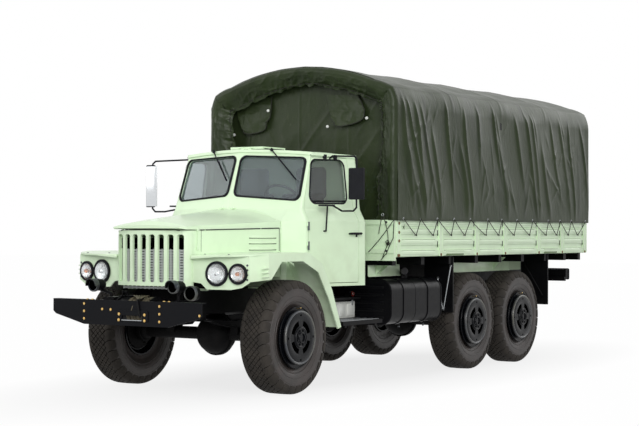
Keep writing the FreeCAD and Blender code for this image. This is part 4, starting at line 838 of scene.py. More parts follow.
def hood_outline(side_rows, roof_rows, hems=()):
    """Points (x, z) from the right hem over the roof to the left hem, with section normals."""
    half, hem, eave, top = HOOD_HIGH.x, HEM_Z, EAVE_Z, HOOD_HIGH.z
    right = [(-half + inward, hem + up) for inward, up in hems]
    right += [(-half, hem + (eave - hem) * k / side_rows) for k in range(side_rows)]
    corner = arc_through((-half, eave), (-half + 0.016, eave + 0.1), SHOULDER, 12)[:-1]
    corner += arc_through(SHOULDER, BEND, (-ROOF_X, ROOF_Z), 8)[:-1]
    roof = arc_through((-ROOF_X, ROOF_Z), (0.0, top), (ROOF_X, ROOF_Z), roof_rows)
    pts = right + corner + roof + [(-x, z) for x, z in corner[::-1]] + [(-x, z) for x, z in right[::-1]]
    pts = np.array(pts)
    run = np.gradient(pts, axis=0)
    run /= np.linalg.norm(run, axis=1)[:, None]
    return pts, np.stack([-run[:, 1], run[:, 0]], axis=1)


def crest(t, power=2.2):
    """Cross-section of one fold: a rounded crest with long flanks."""
    return 1.0 / (1.0 + np.abs(t) ** power)


def waves(u, v, seed):
    """Smooth random field between 0 and 1 over the plane, one cell to a unit."""
    table = np.random.default_rng(seed).random((64, 64))
    iu, iv = np.floor(u).astype(int), np.floor(v).astype(int)
    fu, fv = u - iu, v - iv
    fu, fv = fu * fu * (3 - 2 * fu), fv * fv * (3 - 2 * fv)
    rows, across = (iu % 64, (iu + 1) % 64), (iv % 64, (iv + 1) % 64)
    low = table[rows[0], across[0]] * (1 - fu) + table[rows[1], across[0]] * fu
    high = table[rows[0], across[1]] * (1 - fu) + table[rows[1], across[1]] * fu
    return low * (1 - fv) + high * fv


def crumple(u, v, seed):
    """Sharp-crested creases like those of stiff proofed cloth, about 0 to 1."""
    total = np.zeros_like(u)
    for k, (scale, weight) in enumerate(((1.0, 0.6), (2.1, 0.28), (4.3, 0.12))):
        bend = 0.9 * waves(u * scale * 0.7 + 9.1, v * scale * 0.7 + 3.3, seed + 40 + k)
        field = waves(u * scale + bend, v * scale - bend, seed + k)
        total += weight * (1.0 - np.abs(2.0 * field - 1.0)) ** 2.2
    return total


def side_folds(down, along, seed, depth):
    """Height of the folds that hang from the eave; down is 0 at the eave and 1 at the hem."""
    rng = np.random.default_rng(seed)
    height = np.zeros_like(down)
    starts = np.concatenate([np.linspace(0.04, 0.5, 5),
                             np.linspace(0.75, 4.6, 15) + rng.uniform(-0.12, 0.12, 15)])
    for y0 in starts:
        lean = rng.uniform(0.22, 0.75) if y0 < 0.6 else rng.uniform(0.14, 0.5)
        begin = rng.uniform(-0.2, 0.1) if rng.random() < 0.7 else rng.uniform(0.15, 0.5)
        end = begin + rng.uniform(0.55, 1.25)
        width = rng.uniform(0.024, 0.055)
        size = rng.uniform(0.45, 1.0) * depth * (1.35 if y0 < 0.6 else 1.0)
        window = 1.0 / (1.0 + np.exp(-(down - begin) / 0.05)) / (1.0 + np.exp((down - end) / 0.07))
        wander = 0.03 * np.sin(down * rng.uniform(3, 6) + rng.uniform(0, 6))
        across = (along - y0 - lean * down - wander) / (width * (0.55 + 0.75 * down))
        height += size * window * np.where(across > 0, crest(across, 1.5), crest(across * 1.6, 2.8))
    for _ in range(46):
        y0, d0 = rng.uniform(0.1, 4.85), rng.uniform(0.1, 0.97)
        turn = rng.choice([-1, 1]) * rng.uniform(0.15, 0.9)
        reach, width = rng.uniform(0.06, 0.2), rng.uniform(0.01, 0.02)
        u = (along - y0) * math.cos(turn) + (down - d0) * 1.15 * math.sin(turn)
        v = -(along - y0) * math.sin(turn) + (down - d0) * 1.15 * math.cos(turn)
        height += rng.uniform(0.15, 0.5) * depth * np.exp(-(v / reach) ** 2) * crest(u / width)
    patch = waves(along * 0.9 + 5.0, down * 1.6, seed + 5)
    height += 0.55 * depth * crumple(along * 3.2 - down * 1.0, down * 2.6 + along * 0.5, seed + 11) * \
        np.clip(patch * 2.2 - 0.7, 0.0, 1.0)
    return height + 0.9 * depth * (waves(along * 1.3 - down * 0.7, down * 1.2, seed + 77) - 0.5)


def hood_sheet():
    """The main cloth: hem, sides, eaves and roof in one sheet, with sag and folds."""
    opts = settings().canvas
    outline, normals = hood_outline(84, 74, ((0.03, 0.01), (0.014, 0.002)))
    columns = 336
    y = np.linspace(HOOD_LOW.y + 0.045, HOOD_HIGH.y, columns)
    z = outline[:, 1][:, None] * np.ones(columns)[None, :]
    x = outline[:, 0][:, None] * np.ones(columns)[None, :]
    a = (y - HOOD_LOW.y)[None, :] * np.ones(len(outline))[:, None]
    down = np.clip((EAVE_Z + 0.1 - z) / (EAVE_Z + 0.1 - HEM_Z), 0.0, 1.0)
    on_side = 1.0 / (1.0 + np.exp((z - EAVE_Z - 0.05) / 0.035))
    folds = np.where(x > 0, side_folds(down, a, opts.seed, opts.fold_depth),
                     side_folds(down, a, opts.seed + 50, opts.fold_depth))
    hem_calm = 1.0 - 0.85 * np.clip((down - 0.84) / 0.16, 0, 1)
    end_calm = np.clip((HOOD_HIGH.y - HOOD_LOW.y - a) / 0.1, 0.25, 1.0)
    height = on_side * (hem_calm * end_calm * (folds - 0.012) + 0.002)
    spans = np.zeros(columns)
    for a0, a1 in zip(BOWS_Y[:-1], BOWS_Y[1:]):
        inside = (y >= a0) & (y <= a1)
        spans[inside] = np.sin(math.pi * (y[inside] - a0) / (a1 - a0)) ** 2
    roof = 1.0 - on_side
    height -= opts.sag * roof * spans[None, :]
    height += roof * 0.007 * (crumple(a * 0.9, x * 2.4, opts.seed + 31) - 0.3)
    for y0 in BOWS_Y[1:-1]:
        height += roof * 0.004 * crest((y[None, :] - y0) / 0.022, 4.0)
    for seam in (1.45, 3.05, 4.1):
        height += roof * 0.0025 * crest((a - seam - 0.02 * np.sin(x * 3.0)) / 0.012, 6.0)
    px = x + normals[:, 0][:, None] * height
    pz = z + normals[:, 1][:, None] * height
    return px, np.broadcast_to(y, px.shape), pz


def cloth_piece(name, grids, key):
    """Smooth piece of three grids that hold the x, y and z of a sheet's points."""
    mesh = bpy.data.meshes.new(name)
    verts = np.stack(grids, axis=-1).reshape(-1, 3)
    mesh.from_pydata(verts.tolist(), [], flipped(grid_faces(*grids[0].shape)))
    return place(mesh, name, key, ALL_SMOOTH)


def gather_band():
    """Front edge of the cloth, turned in round the first hoop and drawn up by its cord."""
    opts = settings().canvas
    outline, normals = hood_outline(150, 190)
    rows, steps = len(outline), 44
    arc = np.concatenate([[0.0], np.cumsum(np.linalg.norm(np.diff(outline, axis=0), axis=1))])
    long_wave = waves(arc * 2.6, arc * 0.0, opts.seed + 3) - 0.5
    depth = 0.222 + 0.03 * np.sin(arc * 1.7) + 0.05 * long_wave
    px, py, pz = np.zeros((rows, steps)), np.zeros((rows, steps)), np.zeros((rows, steps))
    for k in range(steps):
        b = k / (steps - 1.0)
        turn = min(b / TURNED, 1.0)
        past = max(b - TURNED, 0.0) / (1.0 - TURNED)
        inward = ROLL * (1 - math.cos(turn * math.pi / 2)) + past * (depth - ROLL)
        back = ROLL * (1 - math.sin(turn * math.pi / 2)) + 0.115 * past ** 1.5
        slant = arc + 0.1 * b
        broad = crumple(slant * 2.4, np.full(rows, b * 1.3), opts.seed + 6)
        fine = crumple(slant * 9.0, np.full(rows, b * 1.2), opts.seed + 8)
        pinch = waves(slant * 22.0, np.full(rows, b * 2.0), opts.seed + 9) - 0.5
        bulge = opts.gather * (1.9 * broad * min(b / 0.2, 1.0) + 1.7 * fine * past ** 1.5
                               + 1.5 * pinch * past ** 3)
        slack = 0.9 * opts.gather * math.sin(math.pi * min(b * 1.15, 1.0))
        px[:, k] = outline[:, 0] - normals[:, 0] * (inward + 0.4 * bulge * past)
        pz[:, k] = outline[:, 1] - normals[:, 1] * (inward + 0.4 * bulge * past)
        py[:, k] = HOOD_LOW.y + 0.012 + back - bulge - slack * 0.3 + 0.012 * past
        if b > 0.9:
            ruffle = (b - 0.9) / 0.1
            edge = 0.03 * ruffle * (waves(arc * 16.0, arc * 0.0, opts.seed + 14) - 0.35)
            px[:, k] -= normals[:, 0] * edge
            pz[:, k] -= normals[:, 1] * edge
            py[:, k] -= 0.016 * ruffle * (waves(arc * 13.0, arc * 0.0, opts.seed + 15) - 0.2)
    return px, np.maximum(py, HOOD_LOW.y - 0.012), np.maximum(pz, HEM_Z)


def draw_cord():
    """Cord threaded in and out of the gathered edge."""
    px, py, pz = gather_band()
    cord = Shape()
    k = px.shape[1] - 5
    points = []
    for i in range(6, px.shape[0] - 6, 4):
        side = 0.01 if (i // 4) % 3 else -0.008
        points.append((px[i, k], py[i, k] - side, pz[i, k]))
    cord.tube(points, 0.0045, 6)
    return cord


def front_wall():
    """Cloth panel hung behind the gathered edge, with seams and slack folds."""
    columns, rows = 210, 150
    opts = settings().canvas
    xs = np.linspace(-1.0, 1.0, columns) * WALL_HALF
    top = np.interp(np.abs(xs), [0.0, 0.3, 0.6, 0.86, 1.0, 1.12, 1.17, 1.2],
                    [3.26, 3.24, 3.18, 3.1, 3.06, 2.97, 2.88, 2.76])
    v = np.linspace(0.0, 1.0, rows)[:, None]
    pz = WALL_LOW + v * (top[None, :] - WALL_LOW)
    px = np.broadcast_to(xs, pz.shape).copy()
    rng = np.random.default_rng(opts.seed + 21)
    height = 0.012 * crumple(px * 1.3 + pz * 0.4, pz * 1.1 - px * 0.3, opts.seed + 22)
    height += 0.006 * crumple(px * 3.8, pz * 3.0, opts.seed + 23)
    for _ in range(12):
        x0, lean = rng.uniform(-1.0, 1.0), rng.uniform(-0.9, 0.9)
        z0, reach = rng.uniform(1.9, 3.0), rng.uniform(0.15, 0.5)
        fold = rng.uniform(0.003, 0.008)
        fold *= crest((px - x0 - lean * (pz - z0)) / rng.uniform(0.012, 0.03))
        height += fold * np.exp(-((pz - z0) / reach) ** 2)
    for x0 in (-0.78, -0.14, 0.5):
        height += 0.005 * crest((px - x0) / 0.011, 8.0)
    return px, aft(WALL_Y) - height, pz


def window_flap(shape, edging, corners, curl, seed):
    """Flap over a window of the front wall; corners are x, z from the top left, clockwise."""
    columns, rows = 44, 34
    u = np.linspace(0.0, 1.0, columns)[None, :] * np.ones((rows, 1))
    v = np.linspace(0.0, 1.0, rows)[:, None] * np.ones((1, columns))
    (ax, az), (bx, bz), (cx, cz), (dx, dz) = corners
    x = (ax * (1 - u) + bx * u) * (1 - v) + (dx * (1 - u) + cx * u) * v
    z = (az * (1 - u) + bz * u) * (1 - v) + (dz * (1 - u) + cz * u) * v
    z -= 0.035 * np.sin(math.pi * u) * v ** 2
    round_in = 0.05 * v ** 4 * (2 * np.abs(u - 0.5)) ** 6
    x += np.where(u < 0.5, round_in, -round_in)
    z += round_in
    lift = curl * v ** 1.5 * (0.35 + 0.65 * waves(u * 2.2, v * 1.5, seed))
    lift = lift + 0.024 * crumple(u * 2.4 + v * 0.8, v * 2.0 - u * 0.6, seed + 1) * (0.3 + v)
    y = aft(FLAP_Y) - lift
    verts = np.stack([x, y, z], axis=-1).reshape(-1, 3).tolist()
    shape.add(verts, flipped(grid_faces(rows, columns)))
    rim = [(x[j, -1], y[j, -1] - 0.002, z[j, -1]) for j in range(rows)]
    rim += [(x[-1, i], y[-1, i] - 0.002, z[-1, i]) for i in range(columns - 2, -1, -1)]
    edging.tube(rim, 0.0055, 6)


class TRUCK_OT_canvas(bpy.types.Operator):
    """Canvas hood, gathered front, front wall and its window flaps"""
    bl_idname = "truck.canvas"
    bl_label = "Canvas"

    def execute(self, context):
        hood = cloth_piece("canvas_hood", hood_sheet(), "canvas")
        band = cloth_piece("canvas_gathers", gather_band(), "canvas")
        wall = cloth_piece("canvas_front_wall", front_wall(), "canvas_inner")
        flaps, edging = Shape(), Shape()
        window_flap(flaps, edging, ((-1.0, 3.02), (-0.5, 3.06), (-0.5, 2.72), (-0.9, 2.66)), 0.045, 5)
        window_flap(flaps, edging, ((0.22, 3.05), (0.62, 3.03), (0.78, 2.79), (0.3, 2.7)), 0.05, 9)
        flap = flaps.piece("canvas_flaps", "canvas", ALL_SMOOTH, outward=False)
        edging.piece("flap_edging", "cord")
        draw_cord().piece("drawing_cord", "cord")
        forward = (0.0, -1.0, 0.0)
        toggles = [(spot(x, 1.806, z), forward)
                   for x, z in ((-0.984, 2.645), (0.263, 2.7), (0.76, 2.775), (-0.52, 2.9))]
        bolts("flap_toggles", toggles, "white", 0.011, 0.01, 12)
        for obj in (hood, band, wall, flap):
            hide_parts("canvas")
        return {"FINISHED"}


# ---------------------------------------------------------------- the lashings
CORD_LOW_Y = (2.085, 2.454, 2.862, 3.177, 3.692, 4.011, 4.408, 4.824, 5.284, 5.592, 5.935, 6.22)
CORD_TOP_Y = (1.81, 2.17, 2.54, 2.92, 3.3, 3.73, 4.08, 4.48, 4.9, 5.34, 5.68, 6.01, 6.44)


def slack_line(points, dip, pieces=8):
    """Points of a cord drawn from one to the next, bowed down a little between them."""
    out = []
    for a, b in zip(points[:-1], points[1:]):
        a, b = Vector(a), Vector(b)
        for k in range(pieces):
            t = k / pieces
            p = a.lerp(b, t)
            p.z -= dip * (b - a).length * 4 * t * (1 - t)
            out.append(p)
    return out + [Vector(points[-1])]


class TRUCK_OT_lashings(bpy.types.Operator):
    """Zigzag cords from the canvas hem to the hooks on the sides"""
    bl_idname = "truck.lashings"
    bl_label = "Lashings"

    def execute(self, context):
        r = settings().fittings.lashing_r
        x = HOOD_HIGH.x + r + 0.003
        tops = [(x, aft(y), HEM_Z + 0.018) for y in CORD_TOP_Y]
        lows = [(x - 0.01, aft(y), 1.527) for y in CORD_LOW_Y]
        points = [tops[0]]
        for low, top in zip(lows, tops[1:]):
            points += [low, top]
        cords = Shape().tube(slack_line(points, 0.02), r, 7)
        cords.mirrored().piece("lashings", "cord", slot="black_paint")
        hooks = Shape()
        for _, y, z in lows:
            hooks.tube([(x - 0.03, y, z + 0.004), (x - 0.012, y, z + 0.002), (x - 0.002, y, z - 0.006),
                        (x - 0.002, y, z + 0.012)],
                       0.0038, 8)
        hooks.mirrored().piece("lashing_hooks", "black")
        eyes = Shape()
        for _, y, z in tops:
            eyes.lathe([(0.0, 0.008), (0.003, 0.01), (0.003, 0.014), (0.0, 0.016)],
                       (HOOD_HIGH.x + 0.002, y, z), "X", 16)
        eyes.mirrored().piece("hem_eyelets", "steel")
        hem = Shape()
        line = [(HOOD_HIGH.x + 0.0015, HOOD_LOW.y + 0.05 + (HOOD_HIGH.y - HOOD_LOW.y - 0.06) * k / 60.0,
                 HEM_Z + 0.003) for k in range(61)]
        hem.tube(line, 0.005, 6)
        hem.mirrored().piece("hem_rope", "canvas")
        corner_cords()
        return {"FINISHED"}


def corner_cords():
    """Cords that hold the front corners of the canvas to the headboard."""
    y = 1.643
    cords = Shape()
    corner = spot(1.196, 1.648, HEM_Z + 0.01)
    cords.tube(slack_line([corner, spot(0.887, y, 1.352)], 0.03, 14), 0.0042, 7)
    cords.tube(slack_line([corner, spot(1.188, y, 1.5), spot(1.105, y, 1.335), spot(1.04, y, 1.268)],
                          -0.05, 8), 0.0042, 7)
    cords.tube(slack_line([spot(1.061, y, 1.745), spot(1.12, y, 1.56), spot(1.128, y, 1.44),
                           spot(1.06, y, 1.3)], -0.06, 8), 0.004, 7)
    cords.tube(slack_line([spot(1.061, y, 1.745), spot(1.03, y, 1.64), spot(1.012, y, 1.545)], -0.1, 8),
               0.004, 7)
    knot = Shape()
    for k in range(3):
        at = Vector(spot(1.118 + 0.006 * k, y - 0.006, 1.462 - 0.012 * k))
        loop = [at + Vector((0.017 * math.cos(a), 0.007 * math.sin(a), 0.012 * math.sin(a + k))) for a in
                (2 * math.pi * j / 14 for j in range(14))]
        knot.tube(loop, 0.0045, 6, closed=True)
    for shape, name in ((cords, "corner_cords"), (knot, "corner_knots")):
        shape.mirrored().piece(name, "cord", slot="black_paint")
    ring = Shape()
    at = Vector(spot(1.061, y - 0.004, 1.745))
    ring.tube([at + Vector((0.014 * math.cos(a), 0.0, 0.014 * math.sin(a)))
               for a in (2 * math.pi * j / 20 for j in range(20))],
              0.0045, 8, closed=True)
    ring.mirrored().piece("corner_rings", "steel")


# ------------------------------------------------------------- cab and its trim
def band_round(shape, loop, place_on, width, thick):
    """Flat-sided rubber strip round an outline on a panel."""
    n = len(loop)
    centre_point = Vector((sum(p[0] for p in loop) / n, sum(p[1] for p in loop) / n))
    verts = []
    for p in loop:
        out = (Vector(p) - centre_point).normalized() * width
        for shift, lift in ((-0.35, 0.0), (-0.3, thick), (0.45, thick), (0.65, 0.0)):
            verts.append(place_on(p[0] + out[0] * shift, p[1] + out[1] * shift, lift))
    shape.add(verts, flipped(grid_faces(n, 4, True)))


SCREEN_SWEEP, RAKE, SHOULDER_Z = 0.193, 0.37, 1.79
FLARE, LEAN, DOOR_FRONT = 0.2125, 0.12, 0.5


def screen_at(x, z, lift=0.0):
    """Point of the left screen's plane, lifted off it."""
    y = 0.343 + SCREEN_SWEEP * x + RAKE * (z - SHOULDER_Z)
    n = Vector((SCREEN_SWEEP, -1.0, RAKE)).normalized() * lift
    return (x + n.x, aft(y) + n.y, z + n.z)


def side_at(y, z, lift=0.0):
    """Point of the left door's upper plane, lifted off it; y is from the front axle."""
    x = 0.8015 + FLARE * (y - DOOR_FRONT) - LEAN * (z - SHOULDER_Z)
    n = Vector((1.0, -FLARE, LEAN)).normalized() * lift
    return (x + n.x, aft(y) + n.y, z + n.z)


def low_side_at(y, z, lift=0.0):
    """Point of the left door's lower plane, lifted off it."""
    n = Vector((1.0, -FLARE, 0.0)).normalized() * lift
    return (0.866 + FLARE * (y - DOOR_FRONT) + n.x, aft(y) + n.y, z)


def mirror_x(place_on):
    return lambda a, b, lift=0.0: (lambda p: (-p[0], p[1], p[2]))(place_on(a, b, lift))


SCREEN_PANE = ((0.034, 2.334), (0.737, 2.307), (0.754, 1.876), (0.044, 1.927))
DOOR_PANE = ((0.7, 2.29), (1.15, 2.296), (1.146, 1.854), (0.614, 1.848))
SCREEN_R, DOOR_R = 0.06, 0.078


def engine_side_at(y, z, lift=0.0):
    """Point of the left engine side panel, lifted off it."""
    k = 0.1973
    n = Vector((1.0, -k, 0.0)).normalized() * lift
    return (0.44 + k * (y + 0.78) + n.x, aft(y) + n.y, z)


def roof_z(x):
    """Height of the cab roof, which is arched across."""
    return 2.4 - 0.05 * (x / 0.9) ** 2


def window_rubbers():
    width = settings().fittings.seal
    seals = Shape()
    screen = rounded_loop(SCREEN_PANE, SCREEN_R, 8)
    for place_on in (screen_at, mirror_x(screen_at)):
        band_round(seals, screen, place_on, width, 0.013)
    seals.piece("screen_rubbers", "seal", 50)
    for side, place_on in (("left", side_at), ("right", mirror_x(side_at))):
        door = Shape()
        band_round(door, rounded_loop(DOOR_PANE, DOOR_R, 8), place_on, 0.02, 0.006)
        felt = [place_on(y, z, -0.008) for y, z in ((0.64, 1.872), (0.9, 1.874), (1.14, 1.878))]
        door.tube(felt, 0.007, 8)
        door.piece("door_rubber_" + side, "seal", 50, "cab_door_" + side)


def wiper_pieces():
    wipers = Shape()
    # columns: side, pivot x and z, tip x and z
    for s, x0, z0, x1, z1 in ((1, 0.36, 2.385, 0.687, 2.08), (-1, 0.364, 2.383, 0.079, 2.075)):
        put = screen_at if s > 0 else mirror_x(screen_at)
        wipers.tube([put(x0, z0, -0.012), put(x0, z0, 0.034)], 0.011, 12)
        wipers.tube([put(x0, z0, 0.024), put(x0, z0, 0.038)], 0.017, 12)
        head, tip = Vector(put(x0, z0, 0.032)), Vector(put(x1, z1, 0.024))
        wipers.tube([head, head.lerp(tip, 0.35), head.lerp(tip, 0.62)], [0.007, 0.006, 0.004], 8)
        wipers.tube([head.lerp(tip, 0.3), tip], 0.0075, 8)
        rim = [Vector(put(x0 + (x1 - x0) * t, z0 + (z1 - z0) * t, 0.01)) for t in (0.31, 0.65, 0.99)]
        wipers.tube(rim, 0.0035, 6)
    wipers.piece("wipers", "seal", 50)


def roof_pieces():
    """Pressed ribs, rain gutters and the hatch's rubber."""
    ribs = Shape()
    for x in (-0.74, -0.52, -0.14, 0.14, 0.52, 0.74):
        y0, y1 = (0.745, 1.22) if abs(x) > 0.4 else (0.7, 0.76)
        verts, rows = [], 15
        for i in range(rows):
            y = y0 + (y1 - y0) * i / (rows - 1)
            rise = 0.012 * min(1.0, 4.0 * min(i, rows - 1 - i) / (rows - 1)) ** 0.5
            for k in range(9):
                dx = 0.046 * (k / 4.0 - 1.0)
                verts.append(spot(x + dx, y, roof_z(x + dx) - 0.003 + rise * (1 - (dx / 0.046) ** 2) ** 0.6))
        ribs.add(verts, grid_faces(rows, 9))
    ribs.piece("roof_ribs", "mint")
    gutter = Shape()
    line = [side_at(y, 2.338 + 0.012 * (y - 0.7), 0.003) for y in (0.69, 0.85, 1.05, 1.25, 1.345)]
    gutter.tube(line, 0.0045, 8)
    gutter.mirrored().piece("roof_gutters", "seal")
    low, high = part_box("roof_hatch")
    inset = 0.004
    corners = ((low.x + inset, low.y + 0.03), (high.x - inset, low.y + 0.03),
               (high.x - inset, high.y - inset), (low.x + inset, high.y - inset))
    ring = Shape()
    ring.tube([(x, y, low.z + 0.002) for x, y in rounded_loop(corners, 0.03, 5)], 0.0075, 8, closed=True)
    ring.piece("hatch_rubber", "seal", body="hatch")


def louvre(shape, z, y0=-0.09, y1=0.29):
    """Long pressed louvre in the left engine side, its mouth along the bottom."""
    rows, verts = 17, []
    for i in range(rows):
        t = i / (rows - 1.0)
        swell = math.sin(math.pi * t) ** 0.35 if 0 < i < rows - 1 else 0.0
        for dz, lift in ((0.02, 0.0), (0.012, 0.005), (0.002, 0.011), (-0.006, 0.0135), (-0.0075, 0.01)):
            verts.append(engine_side_at(y0 + (y1 - y0) * t, z + dz * (0.35 + 0.65 * swell),
                                        0.0004 + lift * swell))
    shape.add(verts, grid_faces(rows, 5))


def engine_side_pieces():
    """Louvres, latch rods, seams and the rubber strip under the bonnet's edge."""
    put = engine_side_at
    louvres, slits, rods = Shape(), Shape(), Shape()
    for z in (1.508, 1.453, 1.392):
        louvre(louvres, z)
        slits.tube([put(-0.08, z - 0.008, 0.0), put(0.28, z - 0.008, 0.0)], 0.0045, 6)
    louvres.mirrored().piece("louvres", "mint")
    slits.tube([put(0.322, 1.595, 0.001), put(0.322, 1.372, 0.001)], 0.0028, 6)
    slits.tube([put(-0.69, 1.575, 0.0006), put(-0.69, 1.372, 0.0006)], 0.0018, 6)
    slits.mirrored().piece("panel_shadows", "dark", slot="trim")
    rods.tube([put(-0.742, 1.575, 0.012), put(-0.742, 1.4, 0.012)], 0.0045, 8)
    for z in (1.578, 1.405):
        rods.tube([put(-0.742, z - 0.012, 0.01), put(-0.742, z + 0.012, 0.01)], 0.011, 10)
    rods.mirrored().piece("bonnet_latches", "mint")
    strip = Shape()
    for y0, y1 in ((-0.7, -0.655), (-0.63, 0.06), (0.085, 0.315)):
        z0, z1 = (1.5755 + 0.0206 * (y + 0.78) for y in (y0, y1))
        strip.tube([put(y0, z0, 0.004), put(y1, z1, 0.004)], 0.005, 8)
    front = [(x, aft(-0.922) + 0.14 * (x / 0.43) ** 2 * 0.35, 1.5715)
             for x in (-0.36, -0.24, -0.12, 0.0, 0.12, 0.24, 0.36)]
    strip.mirrored()
    strip.tube(front, 0.004, 8)
    strip.piece("bonnet_rubber", "seal")


def door_pieces():
    """Handle, hinge knuckles and mirror clips of each door."""
    for side, flip in (("left", 1), ("right", -1)):
        low_on = low_side_at if flip > 0 else mirror_x(low_side_at)
        high_on = side_at if flip > 0 else mirror_x(side_at)
        trim = Shape()
        trim.tube([low_on(1.246, 1.547, 0.03), low_on(1.238, 1.547, 0.035), low_on(1.1, 1.546, 0.035),
                   low_on(1.066, 1.545, 0.026)],
                  [0.008, 0.012, 0.012, 0.009], 10)
        trim.tube([low_on(1.196, 1.545, -0.004), low_on(1.196, 1.545, 0.034)], 0.013, 12)
        trim.tube([low_on(1.196, 1.534, 0.002), low_on(1.196, 1.512, 0.002)], 0.01, 12)
        for y in (0.888, 1.033):
            at = Vector(high_on(y, 2.334, 0.004))
            trim.box((at.x - 0.016, at.y - 0.022, at.z - 0.03), (at.x + 0.016, at.y + 0.022, at.z + 0.014),
                     0.004)
        trim.piece("door_fittings_" + side, "seal", 50, "cab_door_" + side)
        if flip < 0:
            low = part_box("mirror_right")[0]
            shell = Shape().box((low.x + 0.004, aft(0.736), 1.83), (low.x + 0.15, aft(0.741), 2.26), 0.002)
            shell.piece("mirror_shell", "chrome", 50, "cab_door_right")
        knuckles = Shape()
        for z in (1.425, 1.62):
            knuckles.bar([(flip * 0.8825, 0.512, z - 0.042), (flip * 0.8825, 0.512, z + 0.042)], 0.0102, 16)
        knuckles.piece("door_hinges_" + side, "dark_steel", 50)


class TRUCK_OT_cab_trim(Parts, bpy.types.Operator):
    """Window rubbers, wipers, louvres and small fittings of the cab"""
    bl_idname = "truck.cab_trim"
    bl_label = "Cab trim"

    parts = (window_rubbers, wiper_pieces, roof_pieces, engine_side_pieces, door_pieces)


# ------------------------------------------------------------------- the inside
SEAT_TOP = 1.985
WHEEL_HUB = (0.38, 0.8, 1.85)           # steering wheel's hub, y from the front axle


def pillow(name, low, high, cap, inset=0.012):
    """Stuffed cushion: a rounded block blown up by cloth simulation by cap at most, then smoothed."""
    shape = Shape().box([c + inset for c in low], [c - inset for c in high], 0.035)
    obj = bpy.data.objects.new(name, shape.mesh(name))
    scene = bpy.context.scene
    scene.collection.objects.link(obj)
    remesh = obj.modifiers.new("remesh", "REMESH")
    remesh.mode = "VOXEL"
    remesh.voxel_size = 0.011
    mesh = plain_mesh(obj)
    obj.modifiers.clear()
    obj.data = mesh
    rest = np.array([v.co[:] for v in mesh.vertices])
    cloth = obj.modifiers.new("cloth", "CLOTH")
    cloth.settings.use_pressure = True
    cloth.settings.uniform_pressure_force = 4.0
    cloth.settings.effector_weights.gravity = 0.0
    cloth.settings.quality = 5
    for step in range(1, 21):
        scene.frame_set(step)
    blown = plain_mesh(obj)
    obj.modifiers.clear()
    scene.frame_set(1)
    moved = np.array([v.co[:] for v in blown.vertices])
    shift = moved - rest
    far = np.linalg.norm(shift, axis=1)
    shift *= (np.minimum(far, cap) / np.maximum(far, 1e-9))[:, None]
    blown.vertices.foreach_set("co", (rest + shift).reshape(-1))
    obj.data = blown
    smooth = obj.modifiers.new("subdivide", "SUBSURF")
    smooth.levels = smooth.render_levels = 1
    final = plain_mesh(obj)
    obj.modifiers.clear()
    bpy.data.objects.remove(obj)
    for v in final.vertices:
        for k in (0, 1, 2):
            v.co[k] = min(max(v.co[k], low[k] - 0.004), high[k] + 0.004)
    return final


def channels(mesh, axis, places, depth, width, towards):
    """Presses sewn channels across a cushion; towards is the unit way into the stuffing."""
    for v in mesh.vertices:
        for p in places:
            gap = (v.co[axis] - p) / width
            if abs(gap) < 3.0:
                v.co += Vector(towards) * depth * math.exp(-gap * gap)


class TRUCK_OT_inside(bpy.types.Operator):
    """Padded seats, dashboard and steering wheel"""
    bl_idname = "truck.inside"
    bl_label = "Inside of the cab"

    def execute(self, context):
        made = []
        # columns: name, x from, x to, channels
        for name, x0, x1, count in (("driver", 0.09, 0.64, 3), ("bench", -0.86, 0.01, 5)):
            seat = pillow(name + "_seat", spot(x0, 0.76, 1.3), spot(x1, 1.2, 1.42), 0.014)
            back = pillow(name + "_back", spot(x0, 1.125, 1.43), spot(x1, 1.238, SEAT_TOP), 0.014)
            lines = [x0 + (x1 - x0) * (k + 1) / (count + 1) for k in range(count)]
            channels(seat, 0, lines, 0.01, 0.008, (0.0, 0.0, -1.0))
            channels(back, 0, lines, 0.008, 0.008, (0.0, 1.0, 0.0))
            for part, mesh in (("seat", seat), ("back", back)):
                obj = place(mesh, name + "_" + part, "vinyl", ALL_SMOOTH)
                made.append(obj)
        plinths = Shape()
        for x0, x1 in ((0.13, 0.6), (-0.82, -0.03)):
            plinths.block((x0, 0.8, 1.045), (x1, 1.18, 1.305), 0.012)
        made.append(plinths.piece("seat_plinths", "black", 30))
        board = Shape()
        outline = ((0.54, 1.826), (0.57, 1.822), (0.64, 1.8), (0.684, 1.742), (0.682, 1.65), (0.6, 1.562),
                   (0.54, 1.575))
        n = len(outline)
        verts = [spot(x, y, z) for x in (-0.64, 0.64) for y, z in outline]
        board.add(verts, [tuple(range(n)), tuple(range(2 * n - 1, n - 1, -1))] +
                  [(i, i + n, (i + 1) % n + n, (i + 1) % n) for i in range(n)])
        for x, r in ((0.3, 0.045), (0.42, 0.055), (0.54, 0.045), (0.645, 0.028)):
            board.lathe([(0.0, TIP), (0.004, r * 0.6), (0.006, r), (-0.004, r)], spot(x, 0.684, 1.7), "Y", 32)
        made.append(board.piece("dashboard", "dash", 30))
        made.append(steering_wheel())
        for obj in made:
            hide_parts("cab_interior")
        return {"FINISHED"}


